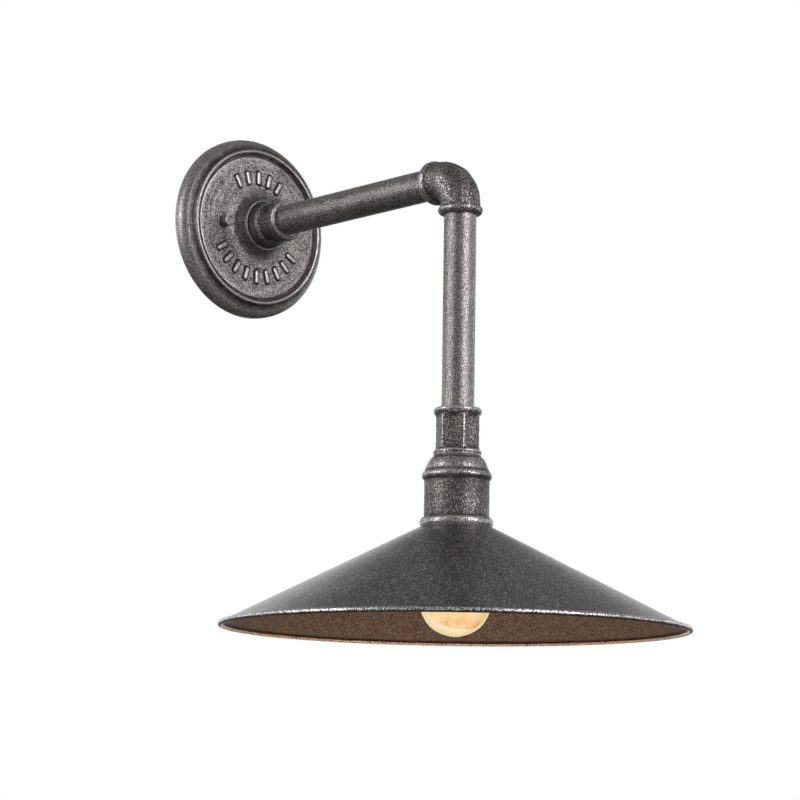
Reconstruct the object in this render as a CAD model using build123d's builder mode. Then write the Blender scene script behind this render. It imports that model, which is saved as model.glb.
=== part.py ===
from build123d import *
import os
from math import cos, pi, sin

# Outdoor wall light: a cast wall plate, a bent arm of threaded iron pipe and a cone shade.
# Millimetres, +Z up. The origin is the middle of the wall plate, on the wall.
# The wall is the plane y = 0, and the light stands out from it along -Y.

# Threaded pipe and how deep it screws into a fitting
PIPE_OD = 26.7
PIPE_WALL = 2.9
SCREW_DEPTH = 14.0
THREAD_GAP = 0.05
ARM_PIPE_LENGTH = 219.2
DROP_PIPE_LENGTH = 185.7

# Wall plate, measured outwards from its back edge
GASKET_THICKNESS = 2.0
GASKET_WIDTH = 4.6
PLATE_OD = 161.4
PLATE_HEIGHT = 18.0
PLATE_FACE = 15.0
PLATE_WALL = 5.0
PLATE_EDGE = 4.0
FLANK_STEP = 3.2
BEAD_OD = 142.2
BEAD_WIDTH = 5.4
BEAD_ROUND = 1.6
GROOVE_WIDTH = 2.2
GROOVE_DEPTH = 1.4

# Hub of the wall plate and the collar that stands in it
HUB_HEIGHT = 13.0
HUB_RECESS = 3.0
HUB_RIM = 1.5
HUB_FLARE = 7.0
HUB_CONE_REACH = 3.5
HUB_CONE_FOOT = 3.25
HUB_GAP = 0.8
COLLAR_STUB_OD = 32.0
COLLAR_LEDGE = 4.2
COLLAR_FLANGE = 14.0
COLLAR_BODY = 13.0
COLLAR_BODY_WALL = 3.4
COLLAR_BEAD = 7.5
COLLAR_BEAD_RISE = 1.4
COLLAR_BEAD_ROUND = 3.0
HUB_NUT_WALL = 4.0
HUB_NUT_HEIGHT = 6.0
STUB_PROUD = 1.0

# Raised bars cast on the wall plate, in an upper and a lower arc
BAR_RADIUS = 45.0
BAR_LENGTH = 12.0
BAR_WIDTH = 4.0
BAR_RISE = 1.3
BAR_STEP = 15.0
UPPER_BARS = 5
LOWER_BARS = 9

# Strap on the wall box, its studs and the cap nuts
STRAP_THICKNESS = 2.5
STRAP_WIDTH = 24.0
STRAP_MARGIN = 9.0
STRAP_DISC_OD = 64.0
STRAP_HOLE_OD = 34.0
BOX_SCREW_SPACING = 88.9
BOX_SLOT_LENGTH = 14.0
BOX_SLOT_WIDTH = 5.0
STUD_OD = 4.2
STUD_SPACING = 74.0
STUD_CLEARANCE = 0.4
STUD_END_GAP = 0.2
STUD_NUT_WALL = 1.9
STUD_NUT_HEIGHT = 3.2
CAP_NUT_OD = 10.0
CAP_NUT_LENGTH = 7.6
CAP_NUT_CROWN = 2.0
CAP_NUT_CHAMFER = 0.7
WASHER_THICKNESS = 0.8
WASHER_OD = 11.0
GROUND_SCREW_OD = 3.8
GROUND_HEAD_OD = 7.6
GROUND_HEAD_HEIGHT = 2.6
GROUND_RADIUS = 25.0
GROUND_TURN = 45.0

# Pipe fittings: walls over the thread, bands and beads
ELBOW_WALL = 3.2
ELBOW_BAND_RISE = 1.9
ELBOW_BAND_WIDTH = 8.0
ELBOW_BAND_ROUND = 3.9
ELBOW_THROAT = 7.4
ELBOW_STRAIGHT = 9.4
HEX_WALL = 2.45
HEX_LENGTH = 28.5
HEX_TURN = 4.0
COUPLING_BEAD_RISE = 3.75
COUPLING_TOP_BEAD = 7.5
COUPLING_TOP_ROUND = 3.5
COUPLING_LOW_BEAD = 5.0
COUPLING_LOW_ROUND = 2.25
NIPPLE_WALL = 3.5
NIPPLE_LENGTH = 11.0

# Screw-in lamp base and bulb
BASE_OD = 26.0
BASE_WALL = 0.5
BASE_LENGTH = 22.0
THREAD_PITCH = 3.629
THREAD_RISE = 0.8
THREAD_RIDGES = 4
THREAD_START = 4.0
INSULATOR_HEIGHT = 3.2
TIP_OD = 9.6
TIP_HEIGHT = 1.6
BULB_LENGTH = 108.0
BULB_OD = 60.0
BULB_GLASS = 0.8
NECK_OD = 26.6
NECK_DEPTH = 9.0
NECK_GAP = 0.15
STEM_OD = 5.0
STEM_LENGTH = 36.0
STEM_FLARE = 1.6
BUTTON_OD = 7.0
BUTTON_HEIGHT = 3.0
FILAMENT_OD = 1.1
FILAMENT_RADIUS = 12.0
FILAMENT_ARC = 230.0
FILAMENT_DROP = 3.0
LEAD_OD = 0.8
HOOK_OD = 0.6
HOOK_GAP = 0.2
HOOK_COUNT = 3

# Lamp socket
SHELL_CLEARANCE = 0.35
SHELL_WALL = 0.5
SHELL_MARGIN = 2.0
SHELL_HOLE_OD = 17.0
SOCKET_WALL = 5.35
SOCKET_BORE = 30.0
SOCKET_SKIRT = 16.7
SOCKET_CROWN = 21.0
SOCKET_FLANGE = 4.0
SOCKET_LEDGE = 1.9
TONGUE_DROP = 4.0
TONGUE_SHEET = 0.6
TONGUE_WIDTH = 5.0
TONGUE_REACH = 6.5
TONGUE_FOOT = 3.6
CONTACT_GAP = 0.2
TERMINAL_OD = 6.0
TERMINAL_HEIGHT = 3.5

# Socket cup and the ring that clamps the shade under it
CUP_HEIGHT = 57.3
CUP_WALL = 2.5
CUP_CLEARANCE = 0.9
CUP_STEP = 1.85
CUP_CROWN = 13.0
NECK_WALL = 5.3
DOME_HEIGHT = 11.0
DOME_BULGE = 0.5
CUP_BEAD_DROP = 12.5
CUP_BEAD_WIDTH = 7.4
CUP_BEAD_RISE = 1.95
CUP_FOOT_HEIGHT = 8.3
CUP_FOOT_CREST = 3.9
CUP_FOOT_RISE = 3.5
CUP_FOOT_TUCK = 1.15
RETAINER_DEPTH = 10.0
RETAINER_FLANGE = 3.0
RETAINER_MARGIN = 1.2
SHADE_GASKET = 1.0

# Shade
SHADE_OD = 380.0
SHADE_HEIGHT = 83.0
SHADE_SHEET = 1.5
SHADE_INSET = 0.5
SHADE_HOLE_GAP = 0.25
RIM_BEAD_OD = 4.0

# Supply wires inside the arm
WIRE_OD = 2.4
WIRE_SPACING = 8.0
CORE_OD = 1.1
CORE_LENGTH = 8.0
CORE_END = 1.0

# Radii that follow from the pipe
pipe_r = PIPE_OD / 2
bore_r = pipe_r - PIPE_WALL
pipe_seat_r = pipe_r + THREAD_GAP

# Places along the arm, as distances from the wall
plate_back = GASKET_THICKNESS
plate_face = plate_back + PLATE_FACE
plate_crest = plate_back + PLATE_HEIGHT
plate_under = plate_face - PLATE_WALL
hub_rim = plate_face + HUB_HEIGHT
hub_floor = hub_rim - HUB_RECESS
collar_body_start = hub_floor + COLLAR_FLANGE
collar_bead_start = collar_body_start + COLLAR_BODY
collar_end = collar_bead_start + COLLAR_BEAD
hub_nut_back = plate_under - HUB_NUT_HEIGHT
stub_end = hub_nut_back - STUB_PROUD
arm_start = collar_end - SCREW_DEPTH
arm_end = arm_start + ARM_PIPE_LENGTH
nut_base = plate_face + WASHER_THICKNESS
nut_end = nut_base + CAP_NUT_LENGTH

# Radii about the arm
plate_r = PLATE_OD / 2
bead_r = BEAD_OD / 2
bead_inner_r = bead_r - BEAD_WIDTH
groove_inner_r = bead_inner_r - GROOVE_WIDTH
cavity_r = plate_r - PLATE_WALL - FLANK_STEP / 2
stub_r = COLLAR_STUB_OD / 2
hub_bore_r = stub_r + THREAD_GAP
flange_r = stub_r + COLLAR_LEDGE
hub_recess_r = flange_r + HUB_GAP
hub_rim_r = hub_recess_r + HUB_RIM
hub_base_r = hub_rim_r + HUB_FLARE
collar_body_r = pipe_seat_r + COLLAR_BODY_WALL
stud_r = STUD_OD / 2
stud_seat_r = stud_r + THREAD_GAP

# Elbow: its bend is as tight as its throat allows
elbow_r = pipe_seat_r + ELBOW_WALL
elbow_band_r = elbow_r + ELBOW_BAND_RISE
elbow_bend = elbow_r + ELBOW_THROAT
elbow_reach = elbow_bend + ELBOW_STRAIGHT
arm_reach = arm_end - SCREW_DEPTH + elbow_reach

# Heights along the drop
drop_top = SCREW_DEPTH - elbow_reach
drop_bottom = drop_top - DROP_PIPE_LENGTH
coupling_top = drop_bottom + SCREW_DEPTH
hex_top = coupling_top - COUPLING_TOP_BEAD
hex_bottom = hex_top - HEX_LENGTH
cup_top = hex_bottom - COUPLING_LOW_BEAD
nipple_end = cup_top - NIPPLE_LENGTH
cup_bead_top = cup_top - CUP_BEAD_DROP
cup_bead_bottom = cup_bead_top - CUP_BEAD_WIDTH
cup_bottom = cup_top - CUP_HEIGHT
cup_ceiling = cup_top - CUP_CROWN
retainer_top = cup_bottom + RETAINER_DEPTH
socket_seat = retainer_top + SOCKET_FLANGE
socket_top = socket_seat + SOCKET_CROWN
socket_mouth = retainer_top - SOCKET_SKIRT
socket_floor = socket_mouth + SOCKET_BORE
shade_under = cup_bottom - SHADE_SHEET
retainer_seat = shade_under - SHADE_GASKET
tongue_low = socket_floor - TONGUE_DROP
bulb_tip = tongue_low - CONTACT_GAP
bulb_bottom = bulb_tip - BULB_LENGTH
terminal_top = socket_top + TERMINAL_HEIGHT

# Radii about the drop
hex_flat_r = pipe_seat_r + HEX_WALL
hex_corner_r = hex_flat_r / cos(pi / 6)
coupling_bead_r = hex_flat_r + COUPLING_BEAD_RISE
nipple_r = bore_r + NIPPLE_WALL
neck_seat_r = nipple_r + THREAD_GAP
cup_neck_r = neck_seat_r + NECK_WALL
base_r = BASE_OD / 2
shell_bore_r = base_r + SHELL_CLEARANCE
shell_r = shell_bore_r + SHELL_WALL
shell_seat_r = shell_r + THREAD_GAP
socket_r = shell_seat_r + SOCKET_WALL
cup_bore_r = socket_r + CUP_CLEARANCE
socket_flange_r = cup_bore_r + SOCKET_LEDGE
cup_seat_r = socket_flange_r + THREAD_GAP
cup_thread_r = cup_seat_r + CUP_STEP
cup_r = cup_thread_r + CUP_WALL
cup_bead_r = cup_r + CUP_BEAD_RISE
cup_foot_r = cup_r + CUP_FOOT_RISE
retainer_r = cup_thread_r - THREAD_GAP
shade_hole_r = retainer_r + SHADE_HOLE_GAP
shade_flat_r = cup_foot_r - SHADE_INSET
retainer_flange_r = shade_flat_r - RETAINER_MARGIN
shade_r = SHADE_OD / 2
rim_bead_r = RIM_BEAD_OD / 2
wire_r = WIRE_OD / 2

# Section planes: local x is the radius, local y runs out along the arm or up the drop
ARM_SECTION = Plane(origin=(0, 0, 0), x_dir=(1, 0, 0), z_dir=(0, 0, -1))
ARM_AXIS = Axis((0, 0, 0), (0, -1, 0))
DROP_SECTION = Plane(origin=(0, -arm_reach, 0), x_dir=(1, 0, 0), z_dir=(0, -1, 0))
DROP_AXIS = Axis((0, -arm_reach, 0), (0, 0, 1))


def off_wall(distance):
    """The plane parallel to the wall at this distance, facing away from it."""
    return Plane.XZ.offset(distance)


def across_drop(height):
    """The level plane at this height, centred on the drop."""
    return Plane(origin=(0, -arm_reach, height), x_dir=(1, 0, 0), z_dir=(0, 0, 1))


def band(inner, outer, start, end, corner=0.0, mode=Mode.ADD):
    """One rectangle of a turned profile, with rounded corners if corner is given."""
    with Locations(((inner + outer) / 2, (start + end) / 2)):
        if corner:
            RectangleRounded(outer - inner, abs(end - start), corner, mode=mode)
        else:
            Rectangle(outer - inner, abs(end - start), mode=mode)


def write(piece, name):
    """Labels a finished piece and writes it as one STEP file."""
    piece.part.label = name
    export_step(piece.part, f"parts/{name}.step")


os.makedirs("parts", exist_ok=True)

# Wall plate: a cast dish with a bead round its face and a hub in the middle
with BuildPart() as wall_plate:
    with BuildSketch(ARM_SECTION):
        with BuildLine():
            Polyline(
                (hub_bore_r, plate_under),
                (hub_bore_r, hub_floor),
                (hub_recess_r, hub_floor),
                (hub_recess_r, hub_rim),
                (hub_rim_r, hub_rim),
            )
            flare_top = (hub_rim_r + HUB_CONE_REACH, plate_face + HUB_CONE_FOOT)
            Line((hub_rim_r, hub_rim), flare_top)
            TangentArc((hub_base_r, plate_face), flare_top, tangent=(-1, 0))
            Line((hub_base_r, plate_face), (groove_inner_r, plate_face))
            ThreePointArc(
                (groove_inner_r, plate_face),
                (groove_inner_r + GROOVE_WIDTH / 2, plate_face - GROOVE_DEPTH),
                (bead_inner_r, plate_face),
            )
            Line((bead_inner_r, plate_face), (bead_inner_r, plate_crest - BEAD_ROUND))
            ThreePointArc(
                (bead_inner_r, plate_crest - BEAD_ROUND),
                (bead_r - BEAD_WIDTH / 2, plate_crest),
                (bead_r, plate_crest - BEAD_ROUND),
            )
            Line((bead_r, plate_crest - BEAD_ROUND), (bead_r, plate_face - GROOVE_DEPTH))
            Line(
                (bead_r, plate_face - GROOVE_DEPTH),
                (bead_r + FLANK_STEP, plate_face - GROOVE_DEPTH),
            )
            TangentArc(
                (plate_r, plate_back + PLATE_EDGE),
                (bead_r + FLANK_STEP, plate_face - GROOVE_DEPTH),
                tangent=(0, 1),
            )
            Polyline(
                (plate_r, plate_back + PLATE_EDGE),
                (plate_r, plate_back),
                (cavity_r, plate_back),
                (cavity_r, plate_under - FLANK_STEP),
                (cavity_r - FLANK_STEP, plate_under),
                (hub_bore_r, plate_under),
            )
        make_face()
    revolve(axis=ARM_AXIS)
    with BuildSketch(off_wall(plate_face)):
        with PolarLocations(BAR_RADIUS, UPPER_BARS, 90 - BAR_STEP * (UPPER_BARS - 1) / 2,
                            BAR_STEP * (UPPER_BARS - 1), endpoint=True):
            SlotOverall(BAR_LENGTH, BAR_WIDTH)
        with PolarLocations(BAR_RADIUS, LOWER_BARS, 270 - BAR_STEP * (LOWER_BARS - 1) / 2,
                            BAR_STEP * (LOWER_BARS - 1), endpoint=True):
            SlotOverall(BAR_LENGTH, BAR_WIDTH)
    extrude(amount=BAR_RISE)
    with BuildSketch(off_wall(plate_back)):
        with GridLocations(STUD_SPACING, 0, 2, 1):
            Circle(stud_r + STUD_CLEARANCE)
    extrude(amount=PLATE_HEIGHT, mode=Mode.SUBTRACT)
write(wall_plate, "wall_plate")

# Soft ring between the plate's edge and the wall
with BuildPart() as wall_gasket:
    with BuildSketch(ARM_SECTION):
        band(cavity_r, cavity_r + GASKET_WIDTH, 0, plate_back)
    revolve(axis=ARM_AXIS)
write(wall_gasket, "wall_gasket")

# Cross-shaped strap that screws to the wall box
with BuildPart() as mounting_strap:
    with BuildSketch(off_wall(0)):
        Circle(STRAP_DISC_OD / 2)
        Rectangle(STUD_SPACING + 2 * STRAP_MARGIN, STRAP_WIDTH)
        Rectangle(STRAP_WIDTH, BOX_SCREW_SPACING + BOX_SLOT_LENGTH + STRAP_MARGIN)
        Circle(STRAP_HOLE_OD / 2, mode=Mode.SUBTRACT)
        with GridLocations(0, BOX_SCREW_SPACING, 1, 2):
            SlotOverall(BOX_SLOT_LENGTH, BOX_SLOT_WIDTH, rotation=90, mode=Mode.SUBTRACT)
        with GridLocations(STUD_SPACING, 0, 2, 1):
            Circle(stud_seat_r, mode=Mode.SUBTRACT)
        with PolarLocations(GROUND_RADIUS, 1, GROUND_TURN):
            Circle(GROUND_SCREW_OD / 2 + THREAD_GAP, mode=Mode.SUBTRACT)
    extrude(amount=STRAP_THICKNESS)
write(mounting_strap, "mounting_strap")

# Threaded studs that carry the plate, and the nuts that lock them in the strap
with BuildPart() as mounting_studs:
    with BuildSketch(off_wall(0)):
        with GridLocations(STUD_SPACING, 0, 2, 1):
            Circle(stud_r)
    extrude(amount=nut_end - CAP_NUT_CROWN - STUD_END_GAP)
write(mounting_studs, "mounting_studs")

with BuildPart() as stud_lock_nuts:
    with BuildSketch(off_wall(STRAP_THICKNESS)):
        with GridLocations(STUD_SPACING, 0, 2, 1):
            RegularPolygon(stud_seat_r + STUD_NUT_WALL, 6, major_radius=False)
            Circle(stud_seat_r, mode=Mode.SUBTRACT)
    extrude(amount=STUD_NUT_HEIGHT)
write(stud_lock_nuts, "stud_lock_nuts")

# Green hex-head screw for the earth wire
with BuildPart() as ground_screw:
    with BuildSketch(off_wall(0)):
        with PolarLocations(GROUND_RADIUS, 1, GROUND_TURN):
            Circle(GROUND_SCREW_OD / 2)
    extrude(amount=STRAP_THICKNESS)
    with BuildSketch(off_wall(STRAP_THICKNESS)):
        with PolarLocations(GROUND_RADIUS, 1, GROUND_TURN):
            RegularPolygon(GROUND_HEAD_OD / 2, 6)
    extrude(amount=GROUND_HEAD_HEIGHT)
write(ground_screw, "ground_screw")

# Cap nuts, each on its washer
for side, stud_x in (("left", -STUD_SPACING / 2), ("right", STUD_SPACING / 2)):
    with BuildPart() as seal_washer:
        with BuildSketch(off_wall(plate_face)):
            with Locations((stud_x, 0)):
                Circle(WASHER_OD / 2)
                Circle(stud_seat_r, mode=Mode.SUBTRACT)
        extrude(amount=WASHER_THICKNESS)
    write(seal_washer, f"seal_washer_{side}")

    with BuildPart() as cap_nut:
        with BuildSketch(off_wall(nut_base)):
            with Locations((stud_x, 0)):
                Circle(CAP_NUT_OD / 2)
        extrude(amount=CAP_NUT_LENGTH)
        chamfer(cap_nut.faces().sort_by(Axis.Y)[0].edges(), CAP_NUT_CHAMFER)
        with BuildSketch(off_wall(nut_base)):
            with Locations((stud_x, 0)):
                Circle(stud_seat_r)
        extrude(amount=CAP_NUT_LENGTH - CAP_NUT_CROWN, mode=Mode.SUBTRACT)
    write(cap_nut, f"cap_nut_{side}")

# Collar: a flanged socket whose threaded stub goes through the hub
with BuildPart() as arm_collar:
    with BuildSketch(ARM_SECTION):
        band(bore_r, stub_r, stub_end, collar_body_start)
        band(bore_r, flange_r, hub_floor, collar_body_start, corner=COLLAR_LEDGE / 2)
        band(bore_r, collar_body_r, collar_body_start - COLLAR_LEDGE, collar_end - COLLAR_BEAD / 2)
        band(bore_r, collar_body_r + COLLAR_BEAD_RISE, collar_bead_start, collar_end,
             corner=COLLAR_BEAD_ROUND)
        band(0, pipe_seat_r, arm_start, collar_end, mode=Mode.SUBTRACT)
        band(0, bore_r, stub_end, collar_end, mode=Mode.SUBTRACT)
    revolve(axis=ARM_AXIS)
write(arm_collar, "arm_collar")

# Hex nut that pulls the collar into the hub from behind
with BuildPart() as hub_lock_nut:
    with BuildSketch(off_wall(hub_nut_back)):
        RegularPolygon(hub_bore_r + HUB_NUT_WALL, 6, major_radius=False)
        Circle(hub_bore_r, mode=Mode.SUBTRACT)
    extrude(amount=HUB_NUT_HEIGHT)
write(hub_lock_nut, "hub_lock_nut")

# Straight arm and drop pipes
with BuildPart() as arm_pipe:
    with BuildSketch(ARM_SECTION):
        band(bore_r, pipe_r, arm_start, arm_end)
    revolve(axis=ARM_AXIS)
write(arm_pipe, "arm_pipe")

with BuildPart() as drop_pipe:
    with BuildSketch(DROP_SECTION):
        band(bore_r, pipe_r, drop_bottom, drop_top)
    revolve(axis=DROP_AXIS)
write(drop_pipe, "drop_pipe")

# Elbow: a bent tube with a raised band at each mouth
elbow_mouth = arm_reach - elbow_reach
with BuildLine() as elbow_line:
    FilletPolyline(
        (0, -elbow_mouth, 0), (0, -arm_reach, 0), (0, -arm_reach, -elbow_reach), radius=elbow_bend
    )
with BuildPart() as elbow:
    with BuildSketch(off_wall(elbow_mouth)):
        Circle(elbow_r)
    sweep(path=elbow_line.line)
    with BuildSketch(ARM_SECTION):
        band(bore_r, elbow_band_r, elbow_mouth, elbow_mouth + ELBOW_BAND_WIDTH,
             corner=ELBOW_BAND_ROUND)
    revolve(axis=ARM_AXIS)
    with BuildSketch(DROP_SECTION):
        band(bore_r, elbow_band_r, -elbow_reach, ELBOW_BAND_WIDTH - elbow_reach,
             corner=ELBOW_BAND_ROUND)
    revolve(axis=DROP_AXIS)
    with BuildSketch(off_wall(elbow_mouth)):
        Circle(bore_r)
    sweep(path=elbow_line.line, mode=Mode.SUBTRACT)
    with BuildSketch(off_wall(elbow_mouth)):
        Circle(pipe_seat_r)
    extrude(amount=SCREW_DEPTH, mode=Mode.SUBTRACT)
    with BuildSketch(across_drop(-elbow_reach)):
        Circle(pipe_seat_r)
    extrude(amount=SCREW_DEPTH, mode=Mode.SUBTRACT)
write(elbow, "elbow")

# Hex coupling: beads above and below the flats, and a nipple that screws into the cup
with BuildPart() as hex_coupling:
    with BuildSketch(across_drop(hex_bottom - COUPLING_LOW_BEAD / 2)):
        RegularPolygon(hex_corner_r, 6, rotation=HEX_TURN)
    extrude(amount=HEX_LENGTH + (COUPLING_TOP_BEAD + COUPLING_LOW_BEAD) / 2)
    with BuildSketch(DROP_SECTION):
        band(bore_r, coupling_bead_r, hex_top, coupling_top, corner=COUPLING_TOP_ROUND)
        band(bore_r, coupling_bead_r, cup_top, hex_bottom, corner=COUPLING_LOW_ROUND)
        band(bore_r, nipple_r, nipple_end, hex_bottom)
    revolve(axis=DROP_AXIS)
    with BuildSketch(DROP_SECTION):
        band(0, bore_r, nipple_end, coupling_top)
        band(0, pipe_seat_r, drop_bottom, coupling_top)
    revolve(axis=DROP_AXIS, mode=Mode.SUBTRACT)
write(hex_coupling, "hex_coupling")

# Socket cup: domed shoulder, bead, straight wall and a round foot on the shade
with BuildPart() as socket_cup:
    with BuildSketch(DROP_SECTION):
        with BuildLine():
            Line((neck_seat_r, cup_top), (cup_neck_r, cup_top))
            ThreePointArc(
                (cup_neck_r, cup_top),
                ((cup_neck_r + cup_r) / 2 + DOME_BULGE, cup_top - DOME_HEIGHT / 2),
                (cup_r, cup_top - DOME_HEIGHT),
            )
            Line((cup_r, cup_top - DOME_HEIGHT), (cup_r, cup_bead_top))
            ThreePointArc(
                (cup_r, cup_bead_top),
                (cup_bead_r, (cup_bead_top + cup_bead_bottom) / 2),
                (cup_r, cup_bead_bottom),
            )
            Line((cup_r, cup_bead_bottom), (cup_r, cup_bottom + CUP_FOOT_HEIGHT))
            ThreePointArc(
                (cup_r, cup_bottom + CUP_FOOT_HEIGHT),
                (cup_foot_r, cup_bottom + CUP_FOOT_CREST),
                (cup_foot_r - CUP_FOOT_TUCK, cup_bottom),
            )
            Polyline(
                (cup_foot_r - CUP_FOOT_TUCK, cup_bottom),
                (cup_thread_r, cup_bottom),
                (cup_thread_r, retainer_top),
                (cup_seat_r, retainer_top),
                (cup_seat_r, socket_seat),
                (cup_bore_r, socket_seat),
                (cup_bore_r, cup_ceiling),
                (neck_seat_r, cup_ceiling),
                (neck_seat_r, cup_top),
            )
        make_face()
    revolve(axis=DROP_AXIS)
write(socket_cup, "socket_cup")

# Shade: one spun sheet, clamped by its flat top, with a wired bead round its rim
rim_middle = cup_bottom - SHADE_HEIGHT + rim_bead_r
with BuildPart() as shade:
    with BuildSketch(DROP_SECTION):
        with BuildLine():
            outside = Polyline(
                (shade_hole_r, cup_bottom),
                (shade_flat_r, cup_bottom),
                (shade_r - rim_bead_r, rim_middle + SHADE_SHEET / 2),
            )
            offset(outside, amount=SHADE_SHEET, side=Side.RIGHT)
        make_face()
        with Locations((shade_r - rim_bead_r, rim_middle)):
            Circle(rim_bead_r)
    revolve(axis=DROP_AXIS)
write(shade, "shade")

with BuildPart() as shade_gasket:
    with BuildSketch(DROP_SECTION):
        band(shade_hole_r, retainer_flange_r, retainer_seat, shade_under)
    revolve(axis=DROP_AXIS)
write(shade_gasket, "shade_gasket")

# Ring that screws up into the cup and clamps the shade and the lamp socket
with BuildPart() as shade_retainer:
    with BuildSketch(DROP_SECTION):
        band(cup_bore_r, retainer_r, retainer_seat, retainer_top)
        band(cup_bore_r, retainer_flange_r, retainer_seat - RETAINER_FLANGE, retainer_seat)
    revolve(axis=DROP_AXIS)
write(shade_retainer, "shade_retainer")

# Porcelain lamp socket, hung by its flange
with BuildPart() as lamp_socket:
    with BuildSketch(DROP_SECTION):
        band(0, socket_r, socket_mouth, socket_top)
        band(0, socket_flange_r, retainer_top, socket_seat)
        band(0, shell_seat_r, socket_mouth, socket_floor, mode=Mode.SUBTRACT)
    revolve(axis=DROP_AXIS)
write(lamp_socket, "lamp_socket")

# Screw shell of the socket, closed above by a washer-shaped web
with BuildPart() as screw_shell:
    with BuildSketch(DROP_SECTION):
        band(shell_bore_r, shell_r, socket_mouth + SHELL_MARGIN, socket_floor)
        band(SHELL_HOLE_OD / 2, shell_r, socket_floor - SHELL_WALL, socket_floor)
    revolve(axis=DROP_AXIS)
write(screw_shell, "screw_shell")

# Springy tongue that meets the tip of the bulb
with BuildPart() as centre_contact:
    with BuildSketch(DROP_SECTION.offset(-TONGUE_WIDTH / 2)):
        with BuildLine():
            tongue = Polyline(
                (-TONGUE_REACH, socket_floor),
                (TONGUE_FOOT - TONGUE_REACH, socket_floor),
                (TONGUE_SHEET, tongue_low + TONGUE_SHEET),
                (TONGUE_FOOT, tongue_low + TONGUE_SHEET),
            )
            offset(tongue, amount=TONGUE_SHEET, side=Side.RIGHT)
        make_face()
    extrude(amount=TONGUE_WIDTH)
write(centre_contact, "centre_contact")

# Terminals on top of the socket and the wires that rise from them through the arm
with BuildPart() as socket_terminals:
    with BuildSketch(across_drop(socket_top)):
        with GridLocations(WIRE_SPACING, 0, 2, 1):
            Circle(TERMINAL_OD / 2)
    extrude(amount=TERMINAL_HEIGHT)
write(socket_terminals, "socket_terminals")

wire_end = CORE_END + CORE_LENGTH
for name, wire_x in (("line_wire", -WIRE_SPACING / 2), ("neutral_wire", WIRE_SPACING / 2)):
    with BuildPart() as wire:
        with BuildLine() as route:
            FilletPolyline(
                (wire_x, -arm_reach, terminal_top),
                (wire_x, -arm_reach, 0),
                (wire_x, -wire_end, 0),
                radius=elbow_bend,
            )
        with BuildSketch(across_drop(terminal_top)):
            with Locations((wire_x, 0)):
                Circle(wire_r)
        sweep(path=route.line)
    write(wire, name)

# Bare copper ends, ready for the wires in the wall box
with BuildPart() as wire_cores:
    with BuildSketch(off_wall(CORE_END)):
        with GridLocations(WIRE_SPACING, 0, 2, 1):
            Circle(CORE_OD / 2)
    extrude(amount=CORE_LENGTH)
write(wire_cores, "wire_cores")

# Bulb: base shell with rolled thread, insulator and tip
base_top = bulb_tip - TIP_HEIGHT - INSULATOR_HEIGHT
base_bottom = base_top - BASE_LENGTH
tip_r = TIP_OD / 2
root_r = base_r - THREAD_RISE
with BuildPart() as bulb_tip_contact:
    with BuildSketch(DROP_SECTION):
        with BuildLine():
            Polyline((0, bulb_tip), (0, bulb_tip - TIP_HEIGHT), (tip_r, bulb_tip - TIP_HEIGHT))
            TangentArc((0, bulb_tip), (tip_r, bulb_tip - TIP_HEIGHT), tangent=(1, 0))
        make_face()
    revolve(axis=DROP_AXIS)
write(bulb_tip_contact, "bulb_tip_contact")

with BuildPart() as bulb_insulator:
    with BuildSketch(DROP_SECTION):
        with BuildLine():
            Polyline(
                (0, base_top),
                (root_r - THREAD_RISE, base_top),
                (tip_r, bulb_tip - TIP_HEIGHT),
                (0, bulb_tip - TIP_HEIGHT),
                close=True,
            )
        make_face()
    revolve(axis=DROP_AXIS)
write(bulb_insulator, "bulb_insulator")

with BuildPart() as bulb_base:
    with BuildSketch(DROP_SECTION):
        band(0, root_r, base_bottom, base_top)
        with Locations(*[
            (base_r - THREAD_RISE, base_top - THREAD_START - THREAD_PITCH * turn)
            for turn in range(THREAD_RIDGES)
        ]):
            Circle(THREAD_RISE)
        band(0, root_r - BASE_WALL, base_bottom, base_top - BASE_WALL, mode=Mode.SUBTRACT)
    revolve(axis=DROP_AXIS)
write(bulb_base, "bulb_base")


def envelope(ball_r, neck_r, ledge, bottom, collar_r):
    """Half of a bulb's outline: a collar in the base, a ledge, a flare tangent to the ball."""
    middle = bottom + ball_r
    rise = ledge - middle
    flare_r = (neck_r**2 + rise**2 - ball_r**2) / (2 * (ball_r - neck_r))
    share = ball_r / (ball_r + flare_r)
    meet = ((neck_r + flare_r) * share, middle + rise * share)
    with BuildLine() as outline:
        Polyline((0, bottom), (0, neck_top), (collar_r, neck_top), (collar_r, ledge), (neck_r, ledge))
        TangentArc((neck_r, ledge), meet, tangent=(0, -1))
        TangentArc((0, bottom), meet, tangent=(1, 0))
    make_face(outline.edges())


# Glass envelope: its neck sits inside the base shell
neck_r = NECK_OD / 2
collar_r = root_r - BASE_WALL - NECK_GAP
neck_top = base_bottom + NECK_DEPTH
ball_r = BULB_OD / 2
with BuildPart() as bulb_glass:
    with BuildSketch(DROP_SECTION):
        envelope(ball_r, neck_r, base_bottom, bulb_bottom, collar_r)
    revolve(axis=DROP_AXIS)
    with BuildSketch(DROP_SECTION):
        envelope(ball_r - BULB_GLASS, neck_r - BULB_GLASS, base_bottom - BULB_GLASS,
                 bulb_bottom + BULB_GLASS, collar_r - BULB_GLASS)
    revolve(axis=DROP_AXIS, mode=Mode.SUBTRACT)
write(bulb_glass, "bulb_glass")

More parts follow.
